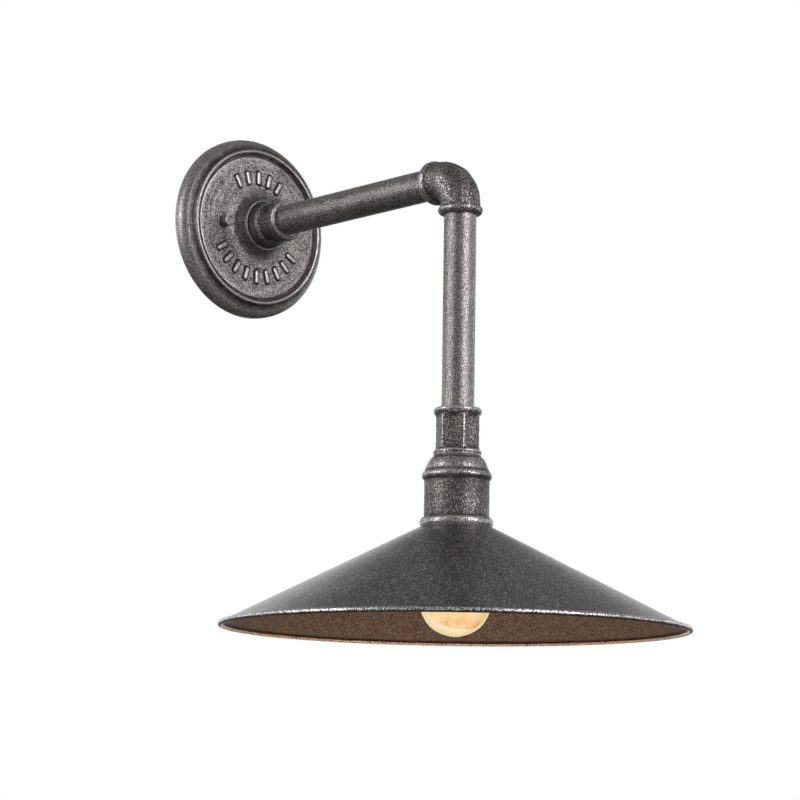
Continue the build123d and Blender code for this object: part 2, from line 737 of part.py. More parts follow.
# Glass stem that closes the neck and carries the filament
stem_top = neck_top
stem_bottom = stem_top - STEM_LENGTH
stem_r = STEM_OD / 2
with BuildPart() as bulb_stem:
    with BuildSketch(DROP_SECTION):
        band(0, collar_r - BULB_GLASS - NECK_GAP, stem_top - STEM_FLARE, stem_top)
        band(0, stem_r, stem_bottom, stem_top)
        band(0, BUTTON_OD / 2, stem_bottom, stem_bottom + BUTTON_HEIGHT)
    revolve(axis=DROP_AXIS)
write(bulb_stem, "bulb_stem")

# Filament: an arc round the stem, held by two leads and a few hooks
filament_z = stem_bottom - FILAMENT_DROP
filament_r = FILAMENT_OD / 2
half_arc = FILAMENT_ARC / 2
with BuildPart() as filament:
    with BuildLine(across_drop(filament_z)) as arc:
        CenterArc((0, 0), FILAMENT_RADIUS, 90 - half_arc, FILAMENT_ARC)
    with BuildSketch(Plane(origin=arc.line @ 0, z_dir=arc.line % 0)):
        Circle(filament_r)
    sweep(path=arc.line)
write(filament, "filament")


def spoke(angle, start_r, start_z, end_r, end_z, diameter):
    """A straight wire in the plane of the drop's axis at this angle."""
    turn = angle * pi / 180
    start = Vector(start_r * cos(turn), start_r * sin(turn) - arm_reach, start_z)
    end = Vector(end_r * cos(turn), end_r * sin(turn) - arm_reach, end_z)
    with BuildSketch(Plane(origin=start, z_dir=end - start)) as section:
        Circle(diameter / 2)
    extrude(section.sketch, amount=(end - start).length)


with BuildPart() as filament_leads:
    for angle in (90 - half_arc, 90 + half_arc):
        spoke(angle, stem_r + LEAD_OD, stem_top - STEM_FLARE - LEAD_OD,
              FILAMENT_RADIUS, filament_z + filament_r + LEAD_OD / 2, LEAD_OD)
write(filament_leads, "filament_leads")

with BuildPart() as filament_hooks:
    for step in range(HOOK_COUNT):
        angle = 90 - half_arc + FILAMENT_ARC * (step + 1) / (HOOK_COUNT + 1)
        spoke(angle, BUTTON_OD / 2 + HOOK_GAP, stem_bottom + BUTTON_HEIGHT / 2,
              FILAMENT_RADIUS, filament_z + filament_r + HOOK_OD / 2, HOOK_OD)
write(filament_hooks, "filament_hooks")
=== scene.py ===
"""Outdoor wall light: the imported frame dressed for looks, on a plain stage."""

import logging
import math
from collections.abc import Callable, Sequence
from dataclasses import dataclass, field
from enum import Enum, IntEnum

import bmesh
import bpy
from mathutils import Matrix, Vector, noise


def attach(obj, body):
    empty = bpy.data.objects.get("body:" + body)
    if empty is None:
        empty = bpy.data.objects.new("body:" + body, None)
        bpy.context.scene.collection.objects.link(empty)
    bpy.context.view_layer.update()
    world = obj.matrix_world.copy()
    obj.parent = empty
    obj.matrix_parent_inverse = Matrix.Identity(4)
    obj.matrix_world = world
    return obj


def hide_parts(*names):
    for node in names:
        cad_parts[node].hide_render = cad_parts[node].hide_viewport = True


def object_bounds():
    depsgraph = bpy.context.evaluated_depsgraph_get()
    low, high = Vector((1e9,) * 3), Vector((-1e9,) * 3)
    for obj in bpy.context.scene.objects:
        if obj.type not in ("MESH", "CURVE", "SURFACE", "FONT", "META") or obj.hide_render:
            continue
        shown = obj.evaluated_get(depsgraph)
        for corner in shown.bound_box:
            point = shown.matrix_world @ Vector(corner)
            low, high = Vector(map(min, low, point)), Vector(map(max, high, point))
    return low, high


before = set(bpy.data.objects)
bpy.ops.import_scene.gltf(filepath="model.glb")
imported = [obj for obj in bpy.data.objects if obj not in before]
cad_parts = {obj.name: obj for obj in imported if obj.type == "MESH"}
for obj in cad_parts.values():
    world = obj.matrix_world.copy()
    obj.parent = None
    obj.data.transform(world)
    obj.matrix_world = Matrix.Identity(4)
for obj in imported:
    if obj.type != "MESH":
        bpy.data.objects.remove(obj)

LOG = logging.getLogger("wall_light")
CAD_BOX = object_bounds()

MM = 0.001
ARM_REACH = 286.1
STUD_X = 37.0
GLASS_IOR = 1.5

Span = tuple[float, float]
Point = tuple[float, float, float]
Corner = tuple[float, float, float]
Ramp = tuple[float, float, float, float]
Colour = tuple[float, float, float, float]
Share = Callable[[Vector], float]
Node = bpy.types.Node
Socket = bpy.types.NodeSocket


class Line(Enum):
    """The lines that pieces are turned about, as places of their own Z axis."""

    ARM = Matrix.Rotation(math.radians(90), 4, "X")
    LEFT_STUD = Matrix.Translation((-STUD_X, 0, 0)) @ Matrix.Rotation(math.radians(90), 4, "X")
    RIGHT_STUD = Matrix.Translation((STUD_X, 0, 0)) @ Matrix.Rotation(math.radians(90), 4, "X")
    DROP = Matrix.Translation((0, -ARM_REACH, 0))


class ShadeSide(IntEnum):
    """The sides of the shade, in the order of their finishes."""

    OUTSIDE = 0
    INSIDE = 1
    INNER_RIM = 2
    OUTER_RIM = 3


def smooth_share(value: float, low: float, high: float) -> float:
    """Returns 0 below low, 1 above high and a smooth step between."""
    share = max(0.0, min(1.0, (value - low) / (high - low)))
    return share * share * (3 - 2 * share)


def everywhere(point: Vector) -> float:
    """Returns a full share at any point."""
    return 1.0


def between(heights: Span, inside: float) -> Share:
    """Returns a test for points between two heights and outside a radius."""
    return lambda point: point.xy.length > inside and heights[0] < point.z < heights[1]


class Graph:
    """A node tree that is being wired."""

    def __init__(self, tree: bpy.types.NodeTree) -> None:
        """Takes the tree that gets the nodes."""
        self.tree = tree

    def add(self, kind: str, feeds: dict | None = None, **settings: object) -> Node:
        """Adds one node.

        Args:
            kind: The node's type name.
            feeds: Values or sockets for its inputs, by name or number.
            settings: Properties of the node.

        Returns:
            The node.
        """
        node = self.tree.nodes.new(kind)
        for key, value in settings.items():
            setattr(node, key, value)
        self.feed(node, feeds or {})
        return node

    def feed(self, node: Node, feeds: dict) -> None:
        """Sets inputs of a node, or links sockets to them.

        Args:
            node: The node.
            feeds: Values or sockets for its inputs, by name or number.
        """
        for key, value in feeds.items():
            if isinstance(value, Socket):
                self.tree.links.new(value, node.inputs[key])
            else:
                node.inputs[key].default_value = value

    def math(self, operation: str, *values: object) -> Socket:
        """Chains math nodes over two or more values, or works on one.

        Args:
            operation: What each node does.
            values: Values or sockets, taken in order.

        Returns:
            The result.
        """
        result = values[0]
        for value in values[1:] or (0.0,):
            result = self.add("ShaderNodeMath", {0: result, 1: value}, operation=operation).outputs[0]
        return result

    def noise(self, vector: Socket, scale: object, detail: float = 2.0, rough: float = 0.55) -> Socket:
        """Adds a noise texture and returns its value, about 0.5 on average."""
        feeds = {"Vector": vector, "Scale": scale, "Detail": detail, "Roughness": rough}
        return self.add("ShaderNodeTexNoise", feeds).outputs[0]

    def sway(self, value: Socket, reach: object) -> Socket:
        """Turns a noise into a move to both sides of 0."""
        return self.math("MULTIPLY", self.math("SUBTRACT", value, 0.5), reach)

    def step(self, value: object, low: object, high: object, start: float = 0.0, end: float = 1.0) -> Socket:
        """Adds a smooth step from start, at low, to end, at high."""
        feeds = {0: value, 1: low, 2: high, 3: start, 4: end}
        return self.add("ShaderNodeMapRange", feeds, interpolation_type="SMOOTHSTEP").outputs[0]

    def hump(self, value: Socket, ramp: Ramp, top: float = 1.0, after: float = 0.0) -> Socket:
        """Rises from 0 over a ramp's first two values, and goes from top to after over its last two."""
        return self.math("MULTIPLY", self.step(value, *ramp[:2]), self.step(value, *ramp[2:], top, after))

    def blend(self, share: Socket, ends: Span) -> object:
        """Blends two values, or returns the value that both ends have."""
        return ends[0] if ends[0] == ends[1] else self.step(share, 0.0, 1.0, *ends)

    def mix(self, share: object, first: object, second: object) -> Socket:
        """Adds a colour mix and returns the mixed colour."""
        return self.add("ShaderNodeMix", {0: share, 6: first, 7: second}, data_type="RGBA").outputs[2]

    def dot(self, vector: Socket, way: Sequence[float]) -> Socket:
        """Returns how far a vector reaches along a direction."""
        return self.add("ShaderNodeVectorMath", {0: vector, 1: way}, operation="DOT_PRODUCT").outputs["Value"]

    def split(self, vector: Socket) -> Sequence[Socket]:
        """Returns the three parts of a vector."""
        return self.add("ShaderNodeSeparateXYZ", {0: vector}).outputs

    def bump(self, height: Socket, strength: float, distance: float) -> Socket:
        """Adds a bump and returns its normal."""
        feeds = {"Strength": strength, "Distance": distance, "Height": height}
        return self.add("ShaderNodeBump", feeds).outputs[0]

    def own_place(self, stretch: float = 1.0) -> Socket:
        """Returns the piece's own coordinates in metres, with patterns stretched upright."""
        place = self.add("ShaderNodeTexCoord").outputs["Object"]
        return self.add("ShaderNodeMapping", {0: place, 3: (1.0, 1.0, 1.0 / stretch)}).outputs[0]

    def mark(self, name: str) -> Socket:
        """Returns the value of a mark that the mesh carries at its vertices."""
        return self.add("ShaderNodeAttribute", attribute_name=name).outputs["Fac"]


class Effects:
    """Node groups that several finishes share, each built when it is first placed."""

    FLECK_LEVEL = 0.52
    PATCH_SCALE = 52.0
    PATCH_SPAN = (0.32, 0.68)
    SOOT_SHADOW_SCALE = 220.0
    SOOT_SHADOW_SPAN = (0.25, 0.7)
    SOOT_SHADOW_SHARES = (0.55, 1.0)
    RING_STEP = 0.8
    RING_TURN = 2.5

    @staticmethod
    def _open(name: str, takes: dict[str, str], gives: Sequence[str]) -> tuple[Graph, Node, Node]:
        """Opens a new group.

        Args:
            name: The group's name.
            takes: Its inputs, as name and socket type.
            gives: The names of its outputs, which are all values.

        Returns:
            The graph, the group's input node and its output node.
        """
        tree = bpy.data.node_groups.new(name, "ShaderNodeTree")
        for label, kind in takes.items():
            tree.interface.new_socket(label, in_out="INPUT", socket_type=kind)
        for label in gives:
            tree.interface.new_socket(label, in_out="OUTPUT", socket_type="NodeSocketFloat")
        graph = Graph(tree)
        return graph, graph.add("NodeGroupInput"), graph.add("NodeGroupOutput")

    @classmethod
    def place(cls, graph: Graph, name: str, feeds: dict) -> Sequence[Socket]:
        """Places a group in a material's graph.

        Args:
            graph: The material's graph.
            name: The effect's name, which is also the name of its method here.
            feeds: Values or sockets for the group's inputs.

        Returns:
            The group node's outputs.
        """
        if name not in bpy.data.node_groups:
            getattr(cls, name)()
        return graph.add("ShaderNodeGroup", feeds, node_tree=bpy.data.node_groups[name]).outputs

    @classmethod
    def flecked_wear(cls) -> None:
        """Pebbled metal whose high spots are rubbed to silver, most of all on worn crests and where a painted
        highlight is marked.
        """
        values = ("Wear_and_highlight", "Rub", "Density", "Patch", "Scale", "Blur")
        takes = {"Place": "NodeSocketVector"} | dict.fromkeys(values, "NodeSocketFloat")
        graph, given, result = cls._open("flecked_wear", takes, ("Silver", "Grain", "Patches"))
        get = given.outputs
        grain = graph.noise(get["Place"], get["Scale"], detail=1.6, rough=0.62)
        patches = graph.noise(get["Place"], cls.PATCH_SCALE, detail=4.0, rough=0.62)
        lift = graph.sway(patches, get["Patch"])
        rub = graph.math("MULTIPLY", get["Wear_and_highlight"], get["Rub"])
        level = graph.math("ADD", graph.math("ADD", grain, lift), graph.math("ADD", rub, get["Density"]))
        low, high = (graph.math(way, cls.FLECK_LEVEL, get["Blur"]) for way in ("SUBTRACT", "ADD"))
        silver = graph.step(level, low, high)
        graph.feed(result, {"Silver": silver, "Grain": grain, "Patches": graph.step(patches, *cls.PATCH_SPAN)})

    @classmethod
    def settled_soot_and_shadow(cls) -> None:
        """Darkening that stays in the inner corners and under things, partly sooty and partly painted shadow."""
        takes = {"Place": "NodeSocketVector", "Grime_and_shadow": "NodeSocketFloat", "Amount": "NodeSocketFloat"}
        graph, given, result = cls._open("settled_soot_and_shadow", takes, ("Soot_and_shadow",))
        get = given.outputs
        cloud = graph.noise(get["Place"], cls.SOOT_SHADOW_SCALE, detail=3.0, rough=0.6)
        uneven = graph.step(cloud, *cls.SOOT_SHADOW_SPAN, *cls.SOOT_SHADOW_SHARES)
        soot_and_shadow = graph.math("MULTIPLY", get["Grime_and_shadow"], get["Amount"], uneven)
        graph.feed(result, {"Soot_and_shadow": graph.math("MINIMUM", soot_and_shadow, 1.0)})

    @classmethod
    def round_the_arm(cls) -> None:
        """Distance from the arm's line in millimetres, and fine rings that run round it."""
        graph, given, result = cls._open("round_the_arm", {"Place": "NodeSocketVector"}, ("Radius", "Rings"))
        parts = graph.split(given.outputs["Place"])
        square = graph.math("ADD", graph.math("POWER", parts[0], 2.0), graph.math("POWER", parts[2], 2.0))
        radius = graph.math("DIVIDE", graph.math("SQRT", square), MM)
        angle = graph.math("ARCTAN2", parts[2], parts[0])
        around, across = (graph.math("MULTIPLY", graph.math(way, angle), cls.RING_TURN) for way in ("SINE", "COSINE"))
        stretched = graph.math("MULTIPLY", radius, cls.RING_STEP)
        unrolled = graph.add("ShaderNodeCombineXYZ", {0: stretched, 1: around, 2: across}).outputs[0]
        graph.feed(result, {"Radius": radius, "Rings": graph.noise(unrolled, 1.0, detail=3.0, rough=0.6)})


@dataclass(frozen=True)
class Finish:
    """A finish that makes its material once."""

    name: str

    def material(self) -> bpy.types.Material:
        """Makes the finish's material when it is first asked for.

        Returns:
            The material.
        """
        label = f"{self.name}_finish"
        found = bpy.data.materials.get(label)
        if found is None:
            found = bpy.data.materials.new(label)
            found.use_nodes = True
            self.wire(Graph(found.node_tree), found.node_tree.nodes["Principled BSDF"])
        return found

    def wire(self, graph: Graph, shader: Node) -> None:
        """Wires the finish into a material's graph."""
        raise NotImplementedError


@dataclass(frozen=True)
class AgedMetal(Finish):
    """Dark pebbled metal, rubbed back to silver on its crests and in fine flecks, and darkened in its hollows and
    underneath, partly sooty and partly painted shadow.
    """

    dark: Colour = (0.022, 0.02, 0.0205, 1.0)
    warm: Colour = (0.042, 0.032, 0.025, 1.0)
    silver: Colour = (0.44, 0.412, 0.402, 1.0)
    # The colour of the sooty darkening, which is partly painted shadow.
    soot_and_shadow: Colour = (0.014, 0.0105, 0.0085, 1.0)
    density: float = 0.0
    rub: float = 0.2
    patch: float = 0.3
    scale: float = 1000.0
    grime_and_shadow: float = 0.9
    # How much silver still shows where the surface is darkened, partly as painted shadow.
    silver_under_shadow: float = 0.12
    rough: Span = (0.42, 0.3)
    metal: Span = (0.4, 0.8)
    relief: float = 0.00025
    strength: float = 0.7
    stretch: float = 1.0
    blur: float = 0.14

    def softness(self, graph: Graph, place: Socket) -> object:
        """Returns how softly the flecks end, as a value or a socket."""
        return self.blur

    def thickness(self, graph: Graph, place: Socket) -> object:
        """Returns how dense the flecks are, as a value or a socket."""
        return self.density

    def dirt_and_shadow(self, graph: Graph, place: Socket) -> Socket:
        """Returns where the surface is darkened, partly sooty and partly as painted shadow."""
        return graph.mark("grime_and_shadow")

    def wire(self, graph: Graph, shader: Node) -> None:
        """Wires flecks, rubbed silver with its painted highlights, and darkening with its painted shadow into the
        shader.

        Args:
            graph: The material's graph.
            shader: Its shader.
        """
        place = graph.own_place(self.stretch)
        feeds = {"Place": place, "Wear_and_highlight": graph.mark("wear_and_highlight"), "Rub": self.rub, "Patch": self.patch}
        feeds |= {"Density": self.thickness(graph, place), "Scale": self.scale}
        worn = Effects.place(graph, "flecked_wear", feeds | {"Blur": self.softness(graph, place)})
        feeds = {"Place": place, "Grime_and_shadow": self.dirt_and_shadow(graph, place), "Amount": self.grime_and_shadow}
        soot_and_shadow = Effects.place(graph, "settled_soot_and_shadow", feeds)["Soot_and_shadow"]
        base = graph.mix(worn["Patches"], self.dark, self.warm)
        bright = graph.math("MULTIPLY", worn["Silver"], graph.step(soot_and_shadow, 0.0, 1.0, 1.0, self.silver_under_shadow))
        graph.feed(shader, {
            "Base Color": graph.mix(bright, graph.mix(soot_and_shadow, base, self.soot_and_shadow), self.silver),
            "Metallic": graph.blend(bright, self.metal),
            "Roughness": graph.blend(bright, self.rough),
            "Normal": graph.bump(worn["Grain"], self.strength, self.relief),
        })


@dataclass(frozen=True)
class CastPlateMetal(AgedMetal):
    """Aged metal whose flat face is rubbed in rings, with painted shadow round the hub and just outside the bead."""

    face: Ramp = (33.0, 44.0, 63.2, 64.4)
    brushed: Span = (-0.035, 0.085)
    brush_span: Span = (0.3, 0.7)
    # A ring of painted shadow round the hub, broken up by a cloud.
    hub_shadow: Span = (24.0, 42.0)
    hub_shadow_amount: float = 0.36
    hub_shadow_scale: float = 45.0
    hub_shadow_sway: float = 28.0
    flank: Span = (70.5, 72.0)
    flank_blur: float = 0.22
    flank_lift: float = 0.05
    # A painted shadow along the line just outside the bead.
    seam_shadow: Ramp = (69.6, 70.4, 72.4, 78.5)
    seam_shadow_amount: float = 1.15

    def softness(self, graph: Graph, place: Socket) -> object:
        """Returns flecks that blend into each other on the flank."""
        radius = Effects.place(graph, "round_the_arm", {"Place": place})["Radius"]
        return graph.step(radius, *self.flank, self.blur, self.flank_blur)

    def thickness(self, graph: Graph, place: Socket) -> object:
        """Closes the flecks up over the face, in rings.

        Args:
            graph: The material's graph.
            place: The piece's own coordinates.

        Returns:
            How dense the flecks are.
        """
        turned = Effects.place(graph, "round_the_arm", {"Place": place})
        face = graph.hump(turned["Radius"], self.face)
        rings = graph.step(turned["Rings"], *self.brush_span, *self.brushed)
        flank = graph.step(turned["Radius"], *self.seam_shadow[2:], self.density, self.density + self.flank_lift)
        return graph.math("ADD", graph.math("MULTIPLY", face, rings), flank)

    def dirt_and_shadow(self, graph: Graph, place: Socket) -> Socket:
        """Adds a painted shadow along the line outside the bead, and a smoky ring of painted shadow round the hub, to
        the inner corners.

        Args:
            graph: The material's graph.
            place: The piece's own coordinates.

        Returns:
            Where the surface is darkened, partly sooty and partly as painted shadow.
        """
        radius = Effects.place(graph, "round_the_arm", {"Place": place})["Radius"]
        cloud = graph.sway(graph.noise(place, self.hub_shadow_scale, detail=3.0), self.hub_shadow_sway)
        hub_shadow = graph.step(graph.math("ADD", radius, cloud), *self.hub_shadow, self.hub_shadow_amount, 0.0)
        seam_shadow = graph.hump(radius, self.seam_shadow, top=self.seam_shadow_amount)
        return graph.math("MAXIMUM", graph.mark("grime_and_shadow"), graph.math("MAXIMUM", hub_shadow, seam_shadow))


@dataclass(frozen=True)
class Mottled(Finish):
    """A plain material with a second tone, a grain and a little relief."""

    first: Colour = (0.5, 0.5, 0.5, 1.0)
    second: Colour = (0.4, 0.4, 0.4, 1.0)
    scale: float = 300.0
    metal: float = 0.0
    rough: Span = (0.4, 0.6)
    relief: float = 0.0001
    strength: float = 0.4
    coat: float = 0.0
    gloss: float = 0.5
    tones: Span = (0.36, 0.64)

    def wire(self, graph: Graph, shader: Node) -> None:
        """Wires the two tones and the grain into the shader.

        Args:
            graph: The material's graph.
            shader: Its shader.
        """
        grain = graph.noise(graph.own_place(), self.scale, detail=3.0, rough=0.6)
        graph.feed(shader, {
            "Base Color": graph.mix(graph.step(grain, *self.tones), self.first, self.second),
            "Roughness": graph.step(grain, *self.tones, *self.rough),
            "Metallic": self.metal, "Coat Weight": self.coat, "Specular IOR Level": self.gloss,
            "Normal": graph.bump(grain, self.strength, self.relief),
        })


@dataclass(frozen=True)
class PaleFloor(Mottled):
    """A mottled floor that looks pale where the soft boxes don't reach it."""

    lift: float = 0.5

    def wire(self, graph: Graph, shader: Node) -> None:
        """Wires the two tones, and a lift that only the eye sees, into the shader.

        Args:
            graph: The material's graph.
            shader: Its shader.
        """
        super().wire(graph, shader)
        seen = graph.add("ShaderNodeLightPath").outputs["Is Camera Ray"]
        lift = graph.math("MULTIPLY", seen, self.lift)
        graph.feed(shader, {"Emission Color": self.first, "Emission Strength": lift})


@dataclass(frozen=True)
class Glass(Finish):
    """Blown glass with a tint that thickens in soft streaks."""

    tint: Colour = (1.0, 1.0, 1.0, 1.0)
    streak: Colour = (0.93, 0.95, 0.95, 1.0)
    streak_scale: float = 60.0
    streak_span: Span = (0.35, 0.65)
    rough: float = 0.03
    clear: float = 1.0

    def wire(self, graph: Graph, shader: Node) -> None:
        """Wires the tint into the shader.

        Args:
            graph: The material's graph.
            shader: Its shader.
        """
        streaks = graph.noise(graph.own_place(), self.streak_scale, rough=0.5)
        streaks = graph.step(streaks, *self.streak_span)
        graph.feed(shader, {
            "Base Color": graph.mix(streaks, self.tint, self.streak), "Roughness": self.rough,
            "IOR": GLASS_IOR, "Transmission Weight": self.clear,
        })


@dataclass(frozen=True)
class AmberGlass(Finish):
    """Amber glass that glows, with caramel clouds and a pale band under its belly that is a painted reflection."""

    cream: Colour = (0.97, 0.84, 0.52, 1.0)
    caramel: Colour = (0.85, 0.5, 0.18, 1.0)
    reflection_colour: Colour = (0.97, 0.86, 0.72, 1.0)
    glow: float = 0.27
    rough: float = 0.12
    clear: float = 0.25
    cloud_scale: float = 46.0
    cloud_span: Span = (0.3, 0.62)
    wobble: float = 0.006
    wobble_scale: float = 70.0
    middle: Point = (0.0, -0.2861, -0.3479)
    # A pale band fixed to the glass, a painted reflection.
    reflection_way: Point = (-0.607, -0.768, 0.208)
    reflection_band: Span = (0.0082, 0.0096)
    reflection_edge: float = 0.003
    reflection_top: Span = (-0.356, -0.352)
    reflection_side: Point = (0.753, -0.658, 0.0)
    reflection_fade: Span = (0.004, 0.017)
    belly: Ramp = (-0.378, -0.371, -0.368, -0.362)
    belly_after: float = 0.3

    def wire(self, graph: Graph, shader: Node) -> None:
        """Wires the clouds and the painted reflection into the shader's colour and glow.

        Args:
            graph: The material's graph.
            shader: Its shader.
        """
        place = graph.own_place()
        height = graph.split(place)[2]
        wobble = graph.sway(graph.noise(place, self.wobble_scale), self.wobble)
        offset = graph.add("ShaderNodeVectorMath", {0: place, 1: self.middle}, operation="SUBTRACT").outputs[0]
        reach = graph.math("ADD", graph.dot(offset, self.reflection_way), wobble)
        low, high = self.reflection_band
        above = graph.step(reach, low - self.reflection_edge, low)
        below = graph.step(reach, high, high + self.reflection_edge, 1.0, 0.0)
        under = graph.step(height, *self.reflection_top, 1.0, 0.0)
        aside = graph.step(graph.dot(offset, self.reflection_side), *self.reflection_fade, 1.0, 0.0)
        belly = graph.hump(graph.math("ADD", height, wobble), self.belly, after=self.belly_after)
        clouds = graph.noise(place, self.cloud_scale, detail=3.0, rough=0.6)
        clouds = graph.step(clouds, *self.cloud_span)
        tone = graph.mix(graph.math("MULTIPLY", clouds, belly, above), self.cream, self.caramel)
        reflection_band = graph.math("MULTIPLY", above, graph.math("MULTIPLY", below, under, aside))
        tone = graph.mix(reflection_band, tone, self.reflection_colour)
        graph.feed(shader, {
            "Base Color": tone, "Emission Color": tone, "Emission Strength": self.glow,
            "Roughness": self.rough, "IOR": GLASS_IOR, "Transmission Weight": self.clear,
        })


@dataclass(frozen=True)
class HotWire(Finish):
    """Coiled wire that glows, unevenly along its length."""

    bright: Colour = (1.0, 0.62, 0.25, 1.0)
    dull: Colour = (1.0, 0.4, 0.1, 1.0)
    glow: float = 3.0
    rough: float = 0.6
    scale: float = 700.0
    tones: Span = (0.35, 0.65)

    def wire(self, graph: Graph, shader: Node) -> None:
        """Wires the uneven glow into the shader.

        Args:
            graph: The material's graph.
            shader: Its shader.
        """
        uneven = graph.step(graph.noise(graph.own_place(), self.scale), *self.tones)
        tone = graph.mix(uneven, self.dull, self.bright)
        glow = {"Emission Color": tone, "Emission Strength": self.glow}
        graph.feed(shader, {"Base Color": tone, "Roughness": self.rough} | glow)


@dataclass(frozen=True)
class Lumps:
    """The lumps that casting leaves: their depth and size, and a seed that moves them along."""

    depth: float
    size: float
    seed: float


@dataclass
class Blank:
    """A mesh in the making, in millimetres about its own Z axis."""

    bm: bmesh.types.BMesh = field(default_factory=bmesh.new)
    merge: float = 0.002
    least_steps: int = 3
    most_steps: int = 10
    bend: Span = (0.07, 0.34)
    # How much more the crests that look up are rubbed: a painted highlight from above.
    lean_highlight: float = 0.28
    # How dark what looks down gets: a painted shadow.
    shadow: Span = (0.15, 0.9)
    shadow_grime: float = 0.8

    def turn(self, corners: Sequence[Corner], steps: int, grain: float) -> "Blank":
        """Turns a closed profile about the axis.

        Args:
            corners: Radius, height and rounding of each corner of the profile.
            steps: How many steps make the full turn.
            grain: The longest edge left along the profile.

        Returns:
            The blank.
        """
        bm = self.bm
        verts = [bm.verts.new((radius, 0.0, height)) for radius, height, _ in corners]
        for first, second in zip(verts, verts[1:] + verts[:1]):
            bm.edges.new((first, second))
        for vert, (_, _, soft) in zip(verts, corners):
            if soft:
                bmesh.ops.bevel(
                    bm, geom=[vert], offset=soft, offset_type="OFFSET", affect="VERTICES",
                    segments=min(self.most_steps, self.least_steps + int(soft)), profile=0.5, material=-1,
                )
        for edge in list(bm.edges):
            cuts = int(edge.calc_length() / grain)
            if cuts:
                bmesh.ops.subdivide_edges(bm, edges=[edge], cuts=cuts)
        bmesh.ops.spin(
            bm, geom=bm.verts[:] + bm.edges[:], cent=(0, 0, 0), axis=(0, 0, 1), dvec=(0, 0, 0),
            angle=math.tau, steps=steps, use_merge=True, use_normal_flip=False, use_duplicate=False,
        )
        return self.close()

    def close(self) -> "Blank":
        """Merges doubles, drops bare edges and turns the faces outwards.

        Returns:
            The blank.
        """
        bmesh.ops.remove_doubles(self.bm, verts=self.bm.verts, dist=self.merge)
        bare = [edge for edge in self.bm.edges if not edge.link_faces]
        bmesh.ops.delete(self.bm, geom=bare, context="EDGES")
        bmesh.ops.recalc_face_normals(self.bm, faces=self.bm.faces)
        self.bm.normal_update()
        return self

    def add(self, other: "Blank", place: Matrix) -> None:
        """Moves another blank to a place and takes its mesh in.

        Args:
            other: The other blank, which is used up.
            place: Where it goes.
        """
        bmesh.ops.transform(other.bm, matrix=place, verts=other.bm.verts)
        mesh = bpy.data.meshes.new("joined")
        other.bm.to_mesh(mesh)
        other.bm.free()
        self.bm.from_mesh(mesh)
        bpy.data.meshes.remove(mesh)

    def roughen(self, lumps: Lumps, where: Share = everywhere) -> "Blank":
        """Lifts and sinks the surface as sand casting leaves it.

        Args:
            lumps: The lumps.
            where: The share of their depth at a point.

        Returns:
            The blank.
        """
        shift = Vector((lumps.seed, lumps.seed * 0.7, -lumps.seed))
        self.bm.normal_update()
        moves = [
            vert.normal * (lumps.depth * where(vert.co) * noise.noise(vert.co / lumps.size + shift))
            for vert in self.bm.verts
        ]
        for vert, move in zip(self.bm.verts, moves):
            vert.co += move
        self.bm.normal_update()
        return self

    def mark_edges(self, line: Line) -> "Blank":
        """Marks rubbed crests, and grimy inner corners that double as painted shadow, from the surface's bend, in
        1/mm.

        Crests that look up are rubbed most, partly as a painted highlight from above, and what looks down stays dark
        as a painted shadow.

        Args:
            line: The line that the blank's axis will lie on.

        Returns:
            The blank.
        """
        bm = self.bm
        bm.normal_update()
        # The rubbed mark also holds painted highlights, and the darkening mark holds painted shadow besides grimy
        # corners.
        wear_and_highlight = bm.verts.layers.float.new("wear_and_highlight")
        grime_and_shadow = bm.verts.layers.float.new("grime_and_shadow")
        up = line.value.to_3x3().inverted() @ Vector((0, 0, 1))
        low, high = self.bend
        bends = []
        for vert in bm.verts:
            share = sum(face.calc_area() / len(face.verts) for face in vert.link_faces)
            total = sum(edge.calc_face_angle_signed(0.0) * edge.calc_length() for edge in vert.link_edges)
            bends.append(total / (4 * share) if share else 0.0)
        bm.verts.index_update()
        for vert in bm.verts:
            near = [bends[edge.other_vert(vert).index] for edge in vert.link_edges]
            bend = (bends[vert.index] + sum(near)) / (1 + len(near))
            lean = vert.normal.dot(up)
            # Crests that look up are rubbed more as a painted highlight; what looks down gets a painted shadow.
            vert[wear_and_highlight] = smooth_share(bend, low, high) * (1 - self.lean_highlight + self.lean_highlight * lean)
            shadow = smooth_share(-lean, *self.shadow) * self.shadow_grime
            vert[grime_and_shadow] = max(smooth_share(-bend, low / 2, high / 2), shadow)
        return self

    def set_mark(
        self, name: str, amount: float, where: Share, pick: Callable[[float, float], float] = max
    ) -> "Blank":
        """Raises a mark to an amount, or holds it down to one, at some vertices.

        Args:
            name: The mark.
            amount: Its least value there, or its greatest.
            where: Picks the vertices by their place.
            pick: max to raise the mark, min to hold it down.

        Returns:
            The blank.
        """
        layer = self.bm.verts.layers.float[name]
        for vert in self.bm.verts:
            if where(vert.co):
                vert[layer] = pick(vert[layer], amount)
        return self

